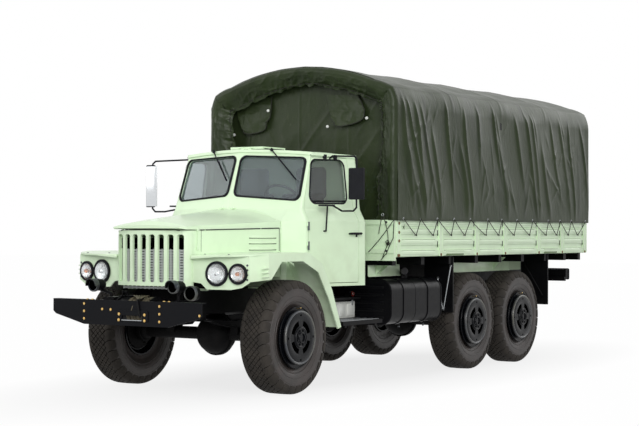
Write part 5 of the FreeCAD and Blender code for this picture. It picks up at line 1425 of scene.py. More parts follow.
def steering_wheel():
    """Grooved rim, three spokes and hub square to the column."""
    hub = Vector(spot(*WHEEL_HUB))
    along = Vector((0.0, 0.24, 0.19)).normalized()
    across = Vector((1.0, 0.0, 0.0))
    up = along.cross(across) * -1.0
    centre_point = hub + along * 0.02
    rim = [centre_point + (across * math.cos(a) + up * math.sin(a)) * 0.22 for a in
           (2 * math.pi * k / 72 for k in range(72))]
    wheel = Shape().tube(rim, [0.0135 - 0.0012 * (k % 2) for k in range(72)], 10, closed=True)
    for a in (0.0, math.pi, -math.pi / 2):
        out = across * math.cos(a) + up * math.sin(a)
        wheel.tube([centre_point, centre_point + out * 0.213], [0.011, 0.008], 10)
    wheel.tube([hub - along * 0.3, hub + along * 0.005], 0.024, 16)
    wheel.tube([hub + along * 0.002, hub + along * 0.034, hub + along * 0.04], [0.04, 0.04, 0.028], 24)
    return wheel.piece("steering_wheel", "seal", 50)


# ------------------------------------------------------- nose, lamps and bumper
LAMP_Y, LAMP_SWEEP = -0.76, math.radians(8.2)
LAMPS = ((0.7, 1.169, 0.094), (0.924, 1.169, 0.074))      # x, z, radius of the glass
BUMPER_Y = -1.25


def swept(point):
    """Turns a point of the left lamp panel back about the headlamp's upright centre line."""
    dx, dy = point[0] - LAMPS[0][0], point[1] - aft(LAMP_Y)
    c, s = math.cos(LAMP_SWEEP), math.sin(LAMP_SWEEP)
    return (LAMPS[0][0] + dx * c - dy * s, aft(LAMP_Y) + dx * s + dy * c, point[2])


def lamp_pieces():
    """Rubber rims, dished reflectors, bulbs and domed glasses of the four front lamps."""
    rims, dishes, bulbs, shades, domes = Shape(), Shape(), Shape(), Shape(), Shape()
    for i, (x, z, r) in enumerate(LAMPS):
        at = (x, aft(LAMP_Y), z)
        rims.lathe([(-0.012, r + 0.021), (-0.02, r + 0.019), (-0.024, r + 0.011), (-0.022, r + 0.003),
                    (-0.016, r - 0.001), (-0.01, r)], at, "Y", 64)
        dishes.lathe([(-0.0165, r), (-0.0135, r * 0.8), (-0.0105, r * 0.5), (-0.009, r * 0.2), (-0.009, TIP)],
                     at, "Y", 64)
        domes.lathe([(-0.017, r), (-0.024, r * 0.93), (-0.031, r * 0.75), (-0.036, r * 0.5),
                     (-0.039, r * 0.25), (-0.0395, TIP)], at, "Y", 64)
        if i:
            bulbs.lathe([(-0.0095, 0.013), (-0.02, 0.019), (-0.029, 0.017), (-0.034, 0.009), (-0.0355, TIP)],
                        at, "Y", 24)
        else:
            shades.lathe([(-0.0095, 0.02), (-0.018, 0.02), (-0.021, 0.013), (-0.0215, TIP)], at, "Y", 24)
    for shape in (rims, dishes, domes, bulbs, shades):
        shape.verts = [swept(v) for v in shape.verts]
        shape.mirrored()
    rims.piece("lamp_rims", "seal")
    dishes.piece("lamp_reflectors", "mirror")
    domes.piece("lamp_glasses", "lens")
    shades.piece("lamp_shades", "mirror")
    bulbs.piece("lamp_bulbs", "amber")


def blackout_pieces():
    """Faces and hoods of the small lamps over the bumper."""
    rims, faces = Shape(), Shape()
    for x in (0.425, -0.545):
        at = spot(x, -1.072, 1.045)
        faces.lathe([(0.0, TIP), (-0.006, 0.02), (-0.004, 0.046), (0.0, 0.052)], at, "Y", 40)
        rims.lathe([(0.0, 0.051), (-0.012, 0.052), (-0.014, 0.058), (-0.006, 0.064), (0.016, 0.064),
                    (0.022, 0.058)],
                   at, "Y", 48)
        hood = []
        for k in range(25):
            a = math.radians(-8 + 196 * k / 24)
            for r, reach in ((0.06, -0.044 - 0.012 * math.sin(a)), (0.064, -0.044 - 0.012 * math.sin(a)),
                             (0.064, 0.0)):
                hood.append((at[0] + r * math.cos(a), at[1] + reach, at[2] + r * math.sin(a)))
        rims.add(hood, grid_faces(25, 3))
        for w, dz in ((0.034, 0.012), (0.038, 0.0), (0.034, -0.012)):
            faces.box((at[0] - w, at[1] - 0.009, at[2] + dz - 0.003),
                      (at[0] + w, at[1] - 0.002, at[2] + dz + 0.001))
    at = spot(0.52, -0.93, 0.985)
    rims.lathe([(0.0, 0.06), (-0.012, 0.06), (-0.016, 0.066), (-0.01, 0.072), (0.02, 0.072), (0.024, 0.066)],
               at, "Y", 48)
    faces.lathe([(-0.001, TIP), (-0.012, 0.02), (-0.009, 0.045), (-0.002, 0.0605)], at, "Y", 48)
    rims.piece("blackout_rims", "slate", 50)
    # the lamp faces under the hoods take the shadow material: painted shade
    faces.piece("blackout_faces", "dark", 50, slot="lens")


def radiator_pieces():
    """Fin packs and tubes of the core, and a dark band above it in the shadow material: painted shade under
    the bonnet.
    """
    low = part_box("radiator")[0]
    fin = Shape().box((-0.372, low.y - 0.0065, 1.016), (0.372, low.y + 0.006, 1.033))
    fins = grow(fin.mesh("fin"), "row", count=15, step=(0.0, 0.0, 0.0255), material=mat("fins"))
    place(fins, "radiator_fins", "fins", 30)
    tubes = Shape()
    for k in range(15):
        x = -0.364 + 0.052 * k
        tubes.box((x - 0.008, low.y - 0.0085, 1.012), (x + 0.008, low.y - 0.0055, 1.396))
    tubes.piece("radiator_tubes", "fins", 30)
    # a dark band in the shadow material over the fins: painted shade under the bonnet
    top_shade = Shape().box((-0.388, low.y - 0.02, 1.398), (0.388, low.y - 0.004, 1.5), 0.004)
    top_shade.piece("radiator_pan", "dark", 30)


def wound_rope():
    """Rope on the right half of the winch drum, its free strands and the levers beside it."""
    turns, strands, levers = Shape(), Shape(), Shape()
    axis = spot(0.0, -1.04, 0.815)
    for k in range(11):
        x = -0.062 + 0.0232 * k
        r = 0.117 + 0.004 * math.sin(2.3 * k)
        ring = [(x + 0.0108 * math.cos(a), r + 0.011 * math.sin(a))
                for a in (math.pi * j / 7 - 0.12 for j in range(9))]
        turns.lathe(ring, axis, "X", 64)
    turns.piece("winch_turns", "wire")
    for k in range(6):
        x = -0.045 + 0.034 * k
        strands.tube(slack_line([spot(x - 0.05, -0.985, 0.938), spot(x, -1.07, 0.956),
                                 spot(0.085 + 0.006 * k, -1.165, 0.925 + 0.004 * (k % 3))], -0.05, 8),
                     0.0065, 8)
    strands.tube(slack_line([spot(0.1, -1.165, 0.93), spot(0.108, -1.236, 0.905), spot(0.085, -1.247, 0.862),
                             spot(0.062, -1.249, 0.792)], 0.0, 6), 0.006, 8)
    strands.piece("winch_strands", "wire")
    for x, tilt in ((-0.165, 0.02), (-0.115, -0.015), (-0.205, 0.03)):
        levers.bar([(x, -1.06, 0.925), (x + tilt, -1.075, 0.985)], 0.006, 8)
        levers.lathe([(0.0, TIP), (0.004, 0.01), (0.018, 0.011), (0.024, TIP)], spot(x + tilt, -1.075, 0.98),
                     "Z", 14)
    levers.bar([(-0.23, -1.055, 0.948), (-0.06, -1.055, 0.952)], 0.008, 8)
    levers.piece("winch_levers", "black", 50)


def fairlead_pieces():
    """Pressed surround of the rope's slot, lighter along its worn lip."""
    frame_plate, lip = Shape(), Shape()
    outer, inner = (rounded_loop(((0.085 - half, low), (0.085 + half, low), (0.085 + half, high),
                                  (0.085 - half, high)), r, 4)
                    for half, low, high, r in ((0.19, 0.724, 0.826, 0.012), (0.124, 0.736, 0.78, 0.01)))
    y0 = aft(BUMPER_Y)
    verts = [(x, y0 - 0.0005, z) for x, z in outer] + [(x, y0 - 0.007, z) for x, z in outer] + \
            [(x, y0 - 0.007, z) for x, z in inner] + [(x, y0 + 0.004, z) for x, z in inner]
    frame_plate.add(verts, grid_faces(4, len(outer), False, True))
    frame_plate.piece("fairlead_plate", "bumper", 30)
    lip.tube([(0.085 - 0.12, y0 - 0.008, 0.735), (0.085 + 0.12, y0 - 0.008, 0.735)], 0.0045, 10)
    lip.piece("fairlead_lip", "steel")


def bumper_bolts():
    front = (0.0, -1.0, 0.0)
    y = aft(BUMPER_Y)
    # columns: x, z
    rows = [(-0.504, 0.876), (-0.504, 0.806), (-0.504, 0.735), (-0.279, 0.83), (-0.176, 0.829),
            (0.407, 0.873), (0.407, 0.802), (0.407, 0.731), (0.87, 0.8)]
    bolts("bumper_bolts", [((x, y, z), front) for x, z in rows], "brass", 0.0085, 0.006)
    frame_rows = [(-0.068, 0.79), (-0.071, 0.736), (0.238, 0.79), (0.238, 0.736)]
    bolts("fairlead_bolts", [((x, y - 0.008, z), front) for x, z in frame_rows], "brass", 0.0095, 0.006)
    top = [((x, aft(-1.215), 0.916), (0.0, 0.0, 1.0)) for x in (0.433, 0.493, -0.433, -0.493)]
    bolts("horn_bolts", top, "brass", 0.01, 0.007)


def wing_fasteners():
    """Screws on the brows and down the lamp panels."""
    rows = []
    for x in (0.585, 0.86):
        for s in (1, -1):
            rows.append(((s * x, aft(-0.795), 1.3515), (0.0, 0.0, 1.0)))
    for z in (1.115, 1.16, 1.205, 1.25):
        x, y, _ = swept((1.018, aft(LAMP_Y), z))
        for s in (1, -1):
            rows.append(((s * x, y, z), (s * math.sin(LAMP_SWEEP), -math.cos(LAMP_SWEEP), 0.0)))
    bolts("wing_screws", rows, "dark_steel", 0.0075, 0.003, 12)
    ribs = Shape()
    for z in (1.14, 1.18, 1.22):
        ribs.tube([(1.1195, aft(-0.64), z), (1.1205, aft(-0.615), z), (1.1205, aft(-0.52), z),
                   (1.1195, aft(-0.495), z)],
                  [0.001, 0.006, 0.006, 0.001], 10)
    ribs.mirrored().piece("wing_ribs", "mint")


class TRUCK_OT_nose(Parts, bpy.types.Operator):
    """Lamps, radiator, winch rope and the bumper's fittings"""
    bl_idname = "truck.nose"
    bl_label = "Nose"

    parts = (lamp_pieces, blackout_pieces, radiator_pieces, wound_rope, fairlead_pieces, bumper_bolts,
             wing_fasteners)


# -------------------------------------------------------------- the cargo body
POSTS_Y = (1.748, 2.665, 3.51, 4.222, 5.126, 5.797, 6.48)
PANELS = tuple((a + 0.042, b - 0.042) for a, b in zip(POSTS_Y[:-1], POSTS_Y[1:]))
BOARD_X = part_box("bed_sides")[1].x


def pressed_rib(shape, y0, y1, z, half, rise, x):
    """Raised flute along a side board, closed at both ends."""
    rows, across, verts = 13, 9, []
    for i in range(rows):
        t = i / (rows - 1.0)
        ease = min(1.0, 10.0 * min(t, 1 - t)) ** 0.5
        for k in range(across):
            c = k / (across - 1.0) * 2 - 1
            verts.append((x + rise * ease * (1 - c * c) ** 0.5, aft(y0 + (y1 - y0) * t),
                          z + half * c * (0.6 + 0.4 * ease)))
    shape.add(verts, grid_faces(rows, across))


def board_pieces():
    """Flutes and post caps of the side boards, with their creases and latch slots in painted shade."""
    flutes, creases, slots, caps = Shape(), Shape(), Shape(), Shape()
    x = BOARD_X - 0.004
    for y0, y1 in PANELS:
        for z in (1.341, 1.456, 1.571, 1.656):
            pressed_rib(flutes, y0 + 0.012, y1 - 0.075, z, 0.024 if z < 1.6 else 0.014, 0.007, x - 0.0006)
        # darker green strips under the flutes: painted shade in the creases
        for z in (1.597, 1.483, 1.366):
            creases.box((x - 0.001, aft(y0 + 0.03), z - 0.0028), (x + 0.0012, aft(y1 - 0.085), z + 0.0008))
        # the latch slots are boxes in the shadow material: painted shade
        for z in (1.583, 1.462, 1.69):
            slots.box((x - 0.001, aft(y1 - 0.04), z - 0.06), (x + 0.0022, aft(y1 - 0.024), z), 0.002)
    for y in POSTS_Y:
        edge = 0.04 if y < 6.4 else 0.036
        for y0 in (y - edge, y + edge - 0.008):
            caps.box((BOARD_X - 0.001, aft(y0), 1.306), (BOARD_X + 0.0035, aft(y0 + 0.008), 1.684), 0.002)
    flutes.mirrored().piece("board_flutes", "mint")
    creases.mirrored().piece("board_creases", "shade_green", 30)
    slots.mirrored().piece("board_slots", "dark", 30)
    caps.mirrored().piece("post_edges", "mint", 30)
    recess = Shape()
    # the foot recesses are darker green boxes: painted shade
    for y0, y1 in ((2.79, 3.19), (5.28, 5.64)):
        recess.box((BOARD_X - 0.006, aft(y0), 1.306), (BOARD_X + 0.001, aft(y1), 1.352), 0.006)
    recess.mirrored().piece("foot_recesses", "shade_green", 30)
    step_in = Shape()
    for y0, y1 in ((2.78, 3.2), (5.27, 5.65)):
        step_in.tube([(BOARD_X + 0.002, aft(y0), 1.356), (BOARD_X + 0.002, aft(y1), 1.356)], 0.006, 8)
    step_in.mirrored().piece("foot_lips", "mint", 30)


def board_bolts():
    out, rows = (1.0, 0.0, 0.0), []
    for y in POSTS_Y:
        for dy in ((-0.012, 0.012) if y == POSTS_Y[0] else (0.0,)):
            rows.append(((BOARD_X, aft(y + dy), 1.318), out))
    rows += [((BOARD_X, aft(POSTS_Y[0] + 0.01), z), out) for z in (1.47, 1.56, 1.655)]
    rows += [((-p[0], p[1], p[2]), (-1.0, 0.0, 0.0)) for p, _ in rows]
    bolts("board_bolts", rows, "rusty", 0.011, 0.007)
    front = [((s * x, aft(1.65), z), (0.0, -1.0, 0.0)) for x in (0.25, 0.7, 1.1) for z in (1.365, 1.665)
             for s in (1, -1)]
    bolts("headboard_bolts", front, "dark_steel", 0.009, 0.005)


def floor_planks():
    """Planks of the load floor: chamfered boards in a row."""
    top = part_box("bed_floor")[1].z
    plank = Shape().block((-0.073, 1.706, top), (0.073, 6.508, top + 0.006), 0.002)
    base = plank.mesh("plank")
    base.transform(Matrix.Translation((-0.076 * 14, 0.0, 0.0)))
    planks_mesh = grow(base, "row", count=15, step=(0.152, 0.0, 0.0), material=mat("planks"))
    place(planks_mesh, "floor_planks", "planks", 30)


def tail_pieces():
    """Latches, chains' hooks and steps of the tailgate, and the lamps beside it."""
    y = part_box("tailgate")[1].y
    fittings = Shape()
    for s in (1, -1):
        x = s * 1.15
        fittings.box((x - 0.028, y - 0.012, 1.59), (x + 0.028, y + 0.008, 1.65), 0.004)
        fittings.tube([(x, y + 0.004, 1.61), (x, y + 0.016, 1.605), (x, y + 0.016, 1.54),
                       (x, y + 0.004, 1.528)], 0.007, 8)
        for z in (1.42, 1.52):
            fittings.tube([(s * 0.42, y - 0.01, z), (s * 0.42, y + 0.01, z), (s * 0.68, y + 0.01, z),
                           (s * 0.68, y - 0.01, z)],
                          0.008, 8)
    fittings.piece("tailgate_fittings", "black", 50, "tailgate")
    lamps, glow = Shape(), Shape()
    for s in (1, -1):
        for x, r, shape in ((0.785, 0.036, glow), (0.865, 0.036, glow), (0.945, 0.036, lamps)):
            shape.lathe([(0.0, r), (0.008, r * 0.92), (0.014, r * 0.6), (0.016, TIP)],
                        spot(s * x, 6.39, 1.028), "Y", 32)
    glow.piece("tail_lenses", "red", 50)
    lamps.piece("tail_indicators", "amber", 50)
    frames = Shape()
    for s in (1, -1):
        low_x, high_x = (0.716, 1.014) if s > 0 else (-1.014, -0.716)
        outline = rounded_loop(((low_x, 0.961), (high_x, 0.961), (high_x, 1.094), (low_x, 1.094)), 0.014, 4)
        frames.tube([(x, aft(6.386), z) for x, z in outline], 0.006, 8, closed=True)
    frames.piece("tail_lamp_edges", "seal", 50)


class TRUCK_OT_body(Parts, bpy.types.Operator):
    """Flutes, slots, planks and fittings of the cargo body"""
    bl_idname = "truck.cargo_body"
    bl_label = "Cargo body"

    parts = (board_pieces, board_bolts, floor_planks, tail_pieces)


# ------------------------------------------------------- tanks, boxes and wheels
TANK_X, TANK_Z, TANK_R = (0.47, 1.13), (0.59, 1.06), 0.13


def tank_ring(off, y):
    """Outline of the left tank's section, off its skin."""
    x0, x1, z0, z1 = TANK_X[0] - off, TANK_X[1] + off, TANK_Z[0] - off, TANK_Z[1] + off
    return [spot(x, y, z)
            for x, z in rounded_loop(((x0, z0), (x1, z0), (x1, z1), (x0, z1)), TANK_R + off, 10)]


def tank_pieces():
    """Rolled end rims, straps with bolts, ribbed end panel and bent filler."""
    dull, bright = Shape(), Shape()
    for y in (1.712, 2.778):
        dull.tube(tank_ring(-0.001, y), 0.009, 10, closed=True)
    dull.tube(tank_ring(-0.002, 2.22), 0.005, 8, closed=True)
    for y in (1.98, 2.5):
        rings = [tank_ring(g, y + dy)
                 for g, dy in ((0.004, -0.022), (0.008, -0.021), (0.008, 0.021), (0.004, 0.022))]
        dull.add([p for ring in rings for p in ring], grid_faces(4, len(rings[0]), False, True))
        dull.bar([(1.06, y, 0.585), (1.06, y, 0.545)], 0.008, 8)
    for z in (0.66, 0.74, 0.82, 0.9, 0.98):
        dull.block((0.56, 1.693, z - 0.014), (1.04, 1.7005, z + 0.014), 0.006)
    path = [spot(0.83, 2.45, 1.06), spot(0.83, 2.45, 1.09), spot(0.85, 2.43, 1.118), spot(0.905, 2.36, 1.132)]
    dull.tube(path, [0.034, 0.03, 0.028, 0.028], 16)
    dull.bar([(0.9, 2.366, 1.131), (0.93, 2.326, 1.139)], 0.038, 20)
    dull.mirrored().piece("tank_fittings", "tank", 50)
    for y in (1.98, 2.5):
        bright.bar([(1.06, y, 0.556), (1.06, y, 0.566)], 0.014, 6)
    bright.mirrored().piece("strap_nuts", "dark_steel", 30)


def battery_pieces():
    """White box with a lid and clasps under the cab's rear, and a red lamp over it."""
    box, trim = Shape(), Shape()
    box.block((0.478, 0.998, 0.668), (0.8035, 1.512, 0.842), 0.008)
    for y in (1.1, 1.255, 1.41):
        box.block((0.8, y - 0.055, 0.69), (0.8085, y + 0.055, 0.82), 0.006)
    box.piece("battery_box", "white", 30)
    for y in (1.06, 1.45):
        trim.block((0.802, y - 0.014, 0.8), (0.814, y + 0.014, 0.858), 0.003)
    trim.piece("battery_clasps", "steel", 30)
    lamp = Shape().lathe([(0.0, 0.028), (0.01, 0.027), (0.018, 0.018), (0.021, TIP)], spot(0.8, 1.47, 0.912),
                         "X", 24)
    lamp.piece("side_marker", "red", 50)
    back = Shape().bar([(0.77, 1.47, 0.912), (0.801, 1.47, 0.912)], 0.032, 24)
    back.bar([(0.78, 1.47, 0.884), (0.78, 1.47, 0.905)], 0.012, 10)
    back.piece("side_marker_base", "black", 50)


def step_pieces():
    """Raised treads on the step plates."""
    shape = Shape()
    for x in (0.84, 0.92, 1.0, 1.07):
        shape.block((x - 0.01, 0.82, 0.661), (x + 0.01, 1.54, 0.668), 0.003)
    shape.mirrored().piece("step_treads", "steel", 30)


def guard_pieces():
    """Bright stays in front of the tandem and the folded edges of the splash boards."""
    stays, edges = Shape(), Shape()
    front = 3.008
    stays.bar([(1.124, front, 1.188), (1.034, front, 0.7)], 0.0085, 10)
    stays.bar([(0.959, front, 1.053), (1.024, front, 0.705)], 0.007, 10)
    for x, z in ((1.124, 1.188), (1.034, 0.7), (0.959, 1.053)):
        stays.bar([(x, front - 0.006, z), (x, 3.026, z)], 0.012, 10)
    stays.mirrored().piece("guard_stays", "steel", 50)
    for y in (3.025, 5.475):
        for x0, x1 in ((0.78, 0.79), (1.13, 1.14)):
            edges.block((x0, y - 0.002, 0.672), (x1, y + 0.026, 1.288), 0.002)
        edges.block((0.78, y - 0.002, 0.672), (1.14, y + 0.026, 0.682), 0.002)
    edges.bar([(0.83, 5.452, 1.18), (1.085, 5.452, 0.78)], 0.01, 8)
    edges.bar([(0.83, 5.472, 1.18), (0.83, 5.446, 1.18)], 0.014, 8)
    edges.bar([(1.085, 5.472, 0.78), (1.085, 5.446, 0.78)], 0.014, 8)
    edges.mirrored().piece("guard_edges", "black", 30)


def sector(shape, hub, side, radii, span, face, thick):
    """Flat plate between two radii and two angles in degrees, its face at the given distance out."""
    steps = 12
    verts = []
    for depth, r in ((0.0, radii[0]), (0.0, radii[1]), (thick, radii[1]), (thick, radii[0])):
        for k in range(steps + 1):
            a = math.radians(span[0] + (span[1] - span[0]) * k / steps)
            verts.append((hub.x + side * (face - depth), hub.y + r * math.cos(a), hub.z + r * math.sin(a)))
    n = steps + 1
    ends = [(0, n, 2 * n, 3 * n), (steps, 3 * n + steps, 2 * n + steps, n + steps)]
    shape.add(verts, grid_faces(4, n, True) + ends)


# profiles of a wheel as (distance out of its middle plane, radius)
LIP_PROFILE = ((0.185, 0.2612), (0.1915, 0.26), (0.1965, 0.257), (0.199, 0.2525), (0.199, 0.2475),
               (0.1975, 0.243), (0.1935, 0.239))
HUB_PROFILE = ((0.193, 0.102), (0.206, 0.1), (0.2095, 0.095), (0.2095, 0.088), (0.206, 0.084), (0.206, 0.054),
               (0.216, 0.051), (0.219, 0.046), (0.217, 0.04), (0.206, 0.038), (0.205, TIP))
RIM_PROFILE = ((0.14, 0.2985), (0.15, 0.3015), (0.158, 0.297), (0.156, 0.289), (0.146, 0.286))


def wheel_pieces():
    """Faces with slots in painted shade, rounded lips with a painted highlight, hub rings and nuts of the six
    wheels.
    """
    for wheel in WHEELS:
        hub = centre("wheel_" + wheel)
        s = math.copysign(1.0, hub.x)
        hub.x = s * TRACK_HALF
        body = "running_wheel_" + wheel
        lip, black, slots = Shape(), Shape(), Shape()
        # the grey lip gives a painted highlight round the black wheel
        lip.lathe([(s * out, r) for out, r in LIP_PROFILE], hub, "X", 80)
        lip.piece("wheel_lip_" + wheel, "lip", body=body)
        for inner, outer in ((0.1, 0.112), (0.164, 0.2385)):
            plate = ((0.1932, inner), (0.1955, inner), (0.1965, inner + 0.002), (0.1965, outer - 0.002),
                     (0.1955, outer), (0.1932, outer))
            black.lathe([(s * out, r) for out, r in plate], hub, "X", 72, closed=True)
        for k in range(4):
            middle = 45 + 90 * k
            sector(black, hub, s, (0.111, 0.165), (middle + 30, middle + 60), 0.1962, 0.003)
            # the kidney slots and the small holes near the rim are dark plates in the shadow material:
            # painted shade
            sector(slots, hub, s, (0.11, 0.166), (middle - 31, middle + 31), 0.1942, 0.0012)
            sector(slots, hub, s, (0.206, 0.222), (middle - 48, middle - 42), 0.1974, 0.002)
        slots.piece("wheel_slots_" + wheel, "dark", 40, body)
        black.lathe([(s * out, r) for out, r in HUB_PROFILE], hub, "X", 56)
        black.lathe([(s * out, r) for out, r in RIM_PROFILE], hub, "X", 96)
        black.piece("wheel_face_" + wheel, "wheel", 50, body)
        rows = []
        for k in range(8):
            a = 2 * math.pi * (k + 0.5) / 8
            rows.append(((hub.x + s * 0.206, hub.y + 0.069 * math.cos(a), hub.z + 0.069 * math.sin(a)),
                         (s, 0.0, 0.0)))
        bolts("wheel_nuts_" + wheel, rows, "wheel", 0.0085, 0.009, body=body)
        valve = Shape().tube([(hub.x + s * 0.15, hub.y + 0.02, hub.z + 0.272),
                              (hub.x + s * 0.182, hub.y + 0.02, hub.z + 0.284)], 0.0055, 8)
        valve.piece("valve_" + wheel, "brass", body=body)


def sill_panels():
    """Painted panels along the floor's edge, before and over the rear wheels."""
    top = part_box("bed_sides")[0].z + 0.002
    panels = Shape()
    for y0, y1, x, low in ((1.745, 2.4, 0.82, 1.09), (3.09, 5.06, 0.812, 1.1)):
        panels.block((x - 0.004, y0, low), (x + 0.004, y1, top), 0.001)
        panels.block((x + 0.002, y0, low - 0.004), (x + 0.016, y1, low + 0.01), 0.002)
        for y in (y0 + 0.16, y1 - 0.42):
            web = [(x + 0.004, low + 0.02), (x + 0.004, top), (x + 0.17, top)]
            panels.add([spot(px, y + dy, pz) for dy in (0.0, 0.006) for px, pz in web],
                       [(0, 1, 2), (5, 4, 3), (0, 3, 4, 1), (1, 4, 5, 2), (2, 5, 3, 0)])
    panels.mirrored().piece("sill_panels", "mint", 30)


def frame_bolts():
    """Rivets along the frame rails."""
    rows = []
    for y in [1.0 + 0.42 * k for k in range(13)]:
        for z in (0.825, 0.955):
            for s in (1, -1):
                rows.append((spot(s * 0.43, y, z), (s, 0.0, 0.0)))
    bolts("frame_rivets", rows, "black", 0.012, 0.006, 10)


class TRUCK_OT_chassis(Parts, bpy.types.Operator):
    """Tanks, battery box, steps, stays, wheels and rivets"""
    bl_idname = "truck.chassis"
    bl_label = "Chassis fittings"

    parts = (tank_pieces, battery_pieces, step_pieces, guard_pieces, wheel_pieces, sill_panels, frame_bolts)


# ------------------------------------------------------------- camera and stage
CAMERA_AT = (9.8818, -13.0659, 1.5826)      # y from the front axle
CAMERA_TURN = (0.5788, 0.0103, 0.0038)      # yaw, pitch and roll in radians
SENSOR, LENS = 36.0, 92.35                  # millimetres
FLOOR_HALF = 60


class TRUCK_OT_stage(bpy.types.Operator):
    """Pale floor, soft lamps and the camera"""
    bl_idname = "truck.stage"
    bl_label = "Stage"

    def execute(self, context):
        scene = context.scene
        scene.view_settings.view_transform = "Standard"
        corners = [(FLOOR_HALF * x, FLOOR_HALF * y, 0) for x, y in ((-1, -1), (1, -1), (1, 1), (-1, 1))]
        floor_mesh = Shape().add(corners, [(0, 1, 2, 3)]).mesh("floor")
        floor = bpy.data.objects.new("floor", floor_mesh)
        scene.collection.objects.link(floor)
        floor_mesh.materials.append(pale_floor())
        scene.world = studio_world()
        # columns: name, place, size, watts, aim
        lamps = (("key", (8.6, -11.5, 6.2), 7.0, 1080.0, (0.0, 0.0, 1.4)),
                 ("fill", (-9.0, -8.0, 6.0), 8.0, 260.0, (0.0, 0.0, 1.4)),
                 ("back", (4.0, 11.0, 7.0), 7.0, 260.0, (0.0, 1.0, 1.6)))
        for name, at, size, watts, aim in lamps:
            data = bpy.data.lights.new(name, "AREA")
            data.size = size
            data.energy = watts
            lamp = bpy.data.objects.new(name, data)
            scene.collection.objects.link(lamp)
            lamp.location = at
            lamp.rotation_euler = (Vector(aim) - Vector(at)).to_track_quat("-Z", "Y").to_euler()
        data = bpy.data.cameras.new("camera")
        data.sensor_width = SENSOR
        data.lens = LENS
        camera = bpy.data.objects.new("camera", data)
        scene.collection.objects.link(camera)
        yaw, pitch, roll = CAMERA_TURN
        forward = Vector((-math.sin(yaw) * math.cos(pitch), math.cos(yaw) * math.cos(pitch), math.sin(pitch)))
        right = Vector((math.cos(yaw), math.sin(yaw), 0.0))
        up = right.cross(forward)
        right, up = right * math.cos(roll) + up * math.sin(roll), up * math.cos(roll) - right * math.sin(roll)
        turn = Matrix((right, up, -forward)).transposed().to_4x4()
        camera.matrix_world = Matrix.Translation(spot(*CAMERA_AT)) @ turn
        scene.camera = camera
        return {"FINISHED"}


FADE_ASIDE, FADE_ALONG = 1.3, 3.6            # half widths of the floor's shaded part
WHITE = (1.0, 1.0, 1.0, 1.0)


def pale_floor():
    """White floor that keeps the truck's shadow, and fades to plain white away from it."""
    f = Finish("pale_floor", (0.38, 0.38, 0.38), 0.95, Specular_IOR_Level=0.0)
    made = join(f.tree, {
        "path": ("ShaderNodeLightPath",),
        "seen": ("ShaderNodeMath", {"operation": "MAXIMUM"}),
        "seen_at_all": ("ShaderNodeMath", {"operation": "MAXIMUM"}),
        "split": ("ShaderNodeSeparateXYZ",),
        "aside": ("ShaderNodeMath", {"operation": "MULTIPLY", 1: 1 / FADE_ASIDE}),
        "along": ("ShaderNodeMath", {"operation": "MULTIPLY", 1: 1 / FADE_ALONG}),
        "both": ("ShaderNodeCombineXYZ",),
        "far": ("ShaderNodeVectorMath", {"operation": "LENGTH"}),
        "glow": ("ShaderNodeEmission",),
        "mix": ("ShaderNodeMixShader",),
    }, """
        path.Is Camera Ray > seen.0
        path.Is Glossy Ray > seen.1
        seen.0 > seen_at_all.0
        path.Is Transmission Ray > seen_at_all.1
        coords.Object > split.0
        split.X > aside.0
        split.Y > along.0
        aside.0 > both.X
        along.0 > both.Y
        both.0 > far.0
        shader.0 > mix.1
        glow.0 > mix.2
        mix.0 > out.Surface""", coords=f.coords.node, shader=f.shader, out=f.tree.nodes["Material Output"])
    fade = f.ramp(made["far"].outputs["Value"], 0.7, 1.8, 0.8, 0.99)
    link(f.tree, (f.product(fade, made["seen_at_all"].outputs[0]), made["mix"].inputs[0]))
    return f.material


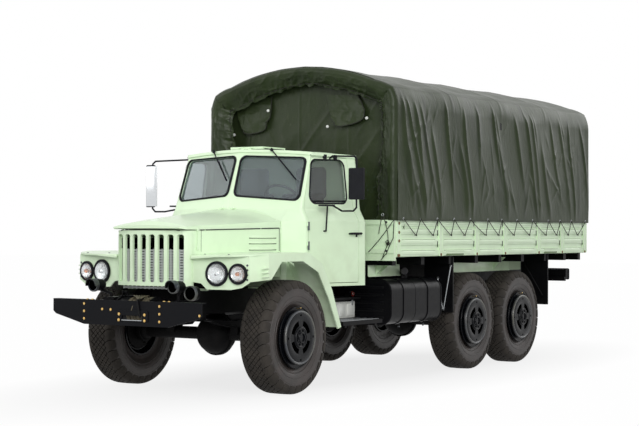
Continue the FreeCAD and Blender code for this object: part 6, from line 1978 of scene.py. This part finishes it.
def studio_world():
    """White to the eye and in reflections, a plain soft light on the truck."""
    world = bpy.data.worlds.new("studio")
    world.use_nodes = True
    world.node_tree.nodes.clear()
    join(world.node_tree, {
        "path": ("ShaderNodeLightPath",),
        "either": ("ShaderNodeMath", {"operation": "MAXIMUM"}),
        "any_of": ("ShaderNodeMath", {"operation": "MAXIMUM"}),
        "soft": ("ShaderNodeBackground", {"Color": WHITE, "Strength": 0.54}),
        "white": ("ShaderNodeBackground", {"Color": WHITE, "Strength": 1.0}),
        "mix": ("ShaderNodeMixShader",),
        "out": ("ShaderNodeOutputWorld",),
    }, """
        path.Is Camera Ray > either.0
        path.Is Transmission Ray > either.1
        either.0 > any_of.0
        path.Is Glossy Ray > any_of.1
        any_of.0 > mix.0
        soft.0 > mix.1
        white.0 > mix.2
        mix.0 > out.0""")
    return world


# ---------------------------------------------------------------- registration
class TruckLooks(bpy.types.PropertyGroup):
    """All settings of the truck's looks."""
    finish: PointerProperty(type=TruckFinish)
    canvas: PointerProperty(type=TruckCanvas)
    tyres: PointerProperty(type=TruckTyres)
    fittings: PointerProperty(type=TruckFittings)


OPERATORS = (TRUCK_OT_tyres, TRUCK_OT_canvas, TRUCK_OT_lashings, TRUCK_OT_cab_trim, TRUCK_OT_inside,
             TRUCK_OT_nose, TRUCK_OT_body, TRUCK_OT_chassis, TRUCK_OT_stage)


class TRUCK_PT_looks(bpy.types.Panel):
    """Buttons for each piece of the truck's looks"""
    bl_label = "Truck"
    bl_idname = "TRUCK_PT_looks"
    bl_space_type = "VIEW_3D"
    bl_region_type = "UI"
    bl_category = "Truck"

    def draw(self, context):
        looks = context.scene.truck_looks
        for group in (looks.finish, looks.canvas, looks.tyres, looks.fittings):
            box = self.layout.box()
            for name in group.__annotations__:
                box.prop(group, name)
        for operator in OPERATORS:
            self.layout.operator(operator.bl_idname)


CLASSES = (TruckFinish, TruckCanvas, TruckTyres, TruckFittings, TruckLooks) + OPERATORS + (TRUCK_PT_looks,)


def register():
    for cls in CLASSES:
        bpy.utils.register_class(cls)
    bpy.types.Scene.truck_looks = PointerProperty(type=TruckLooks)


def unregister():
    del bpy.types.Scene.truck_looks
    for cls in reversed(CLASSES):
        bpy.utils.unregister_class(cls)


def main():
    register()
    paint_frame()
    for operator in OPERATORS:
        group, name = operator.bl_idname.split(".")
        getattr(getattr(bpy.ops, group), name)()


if __name__ == "__main__":
    main()
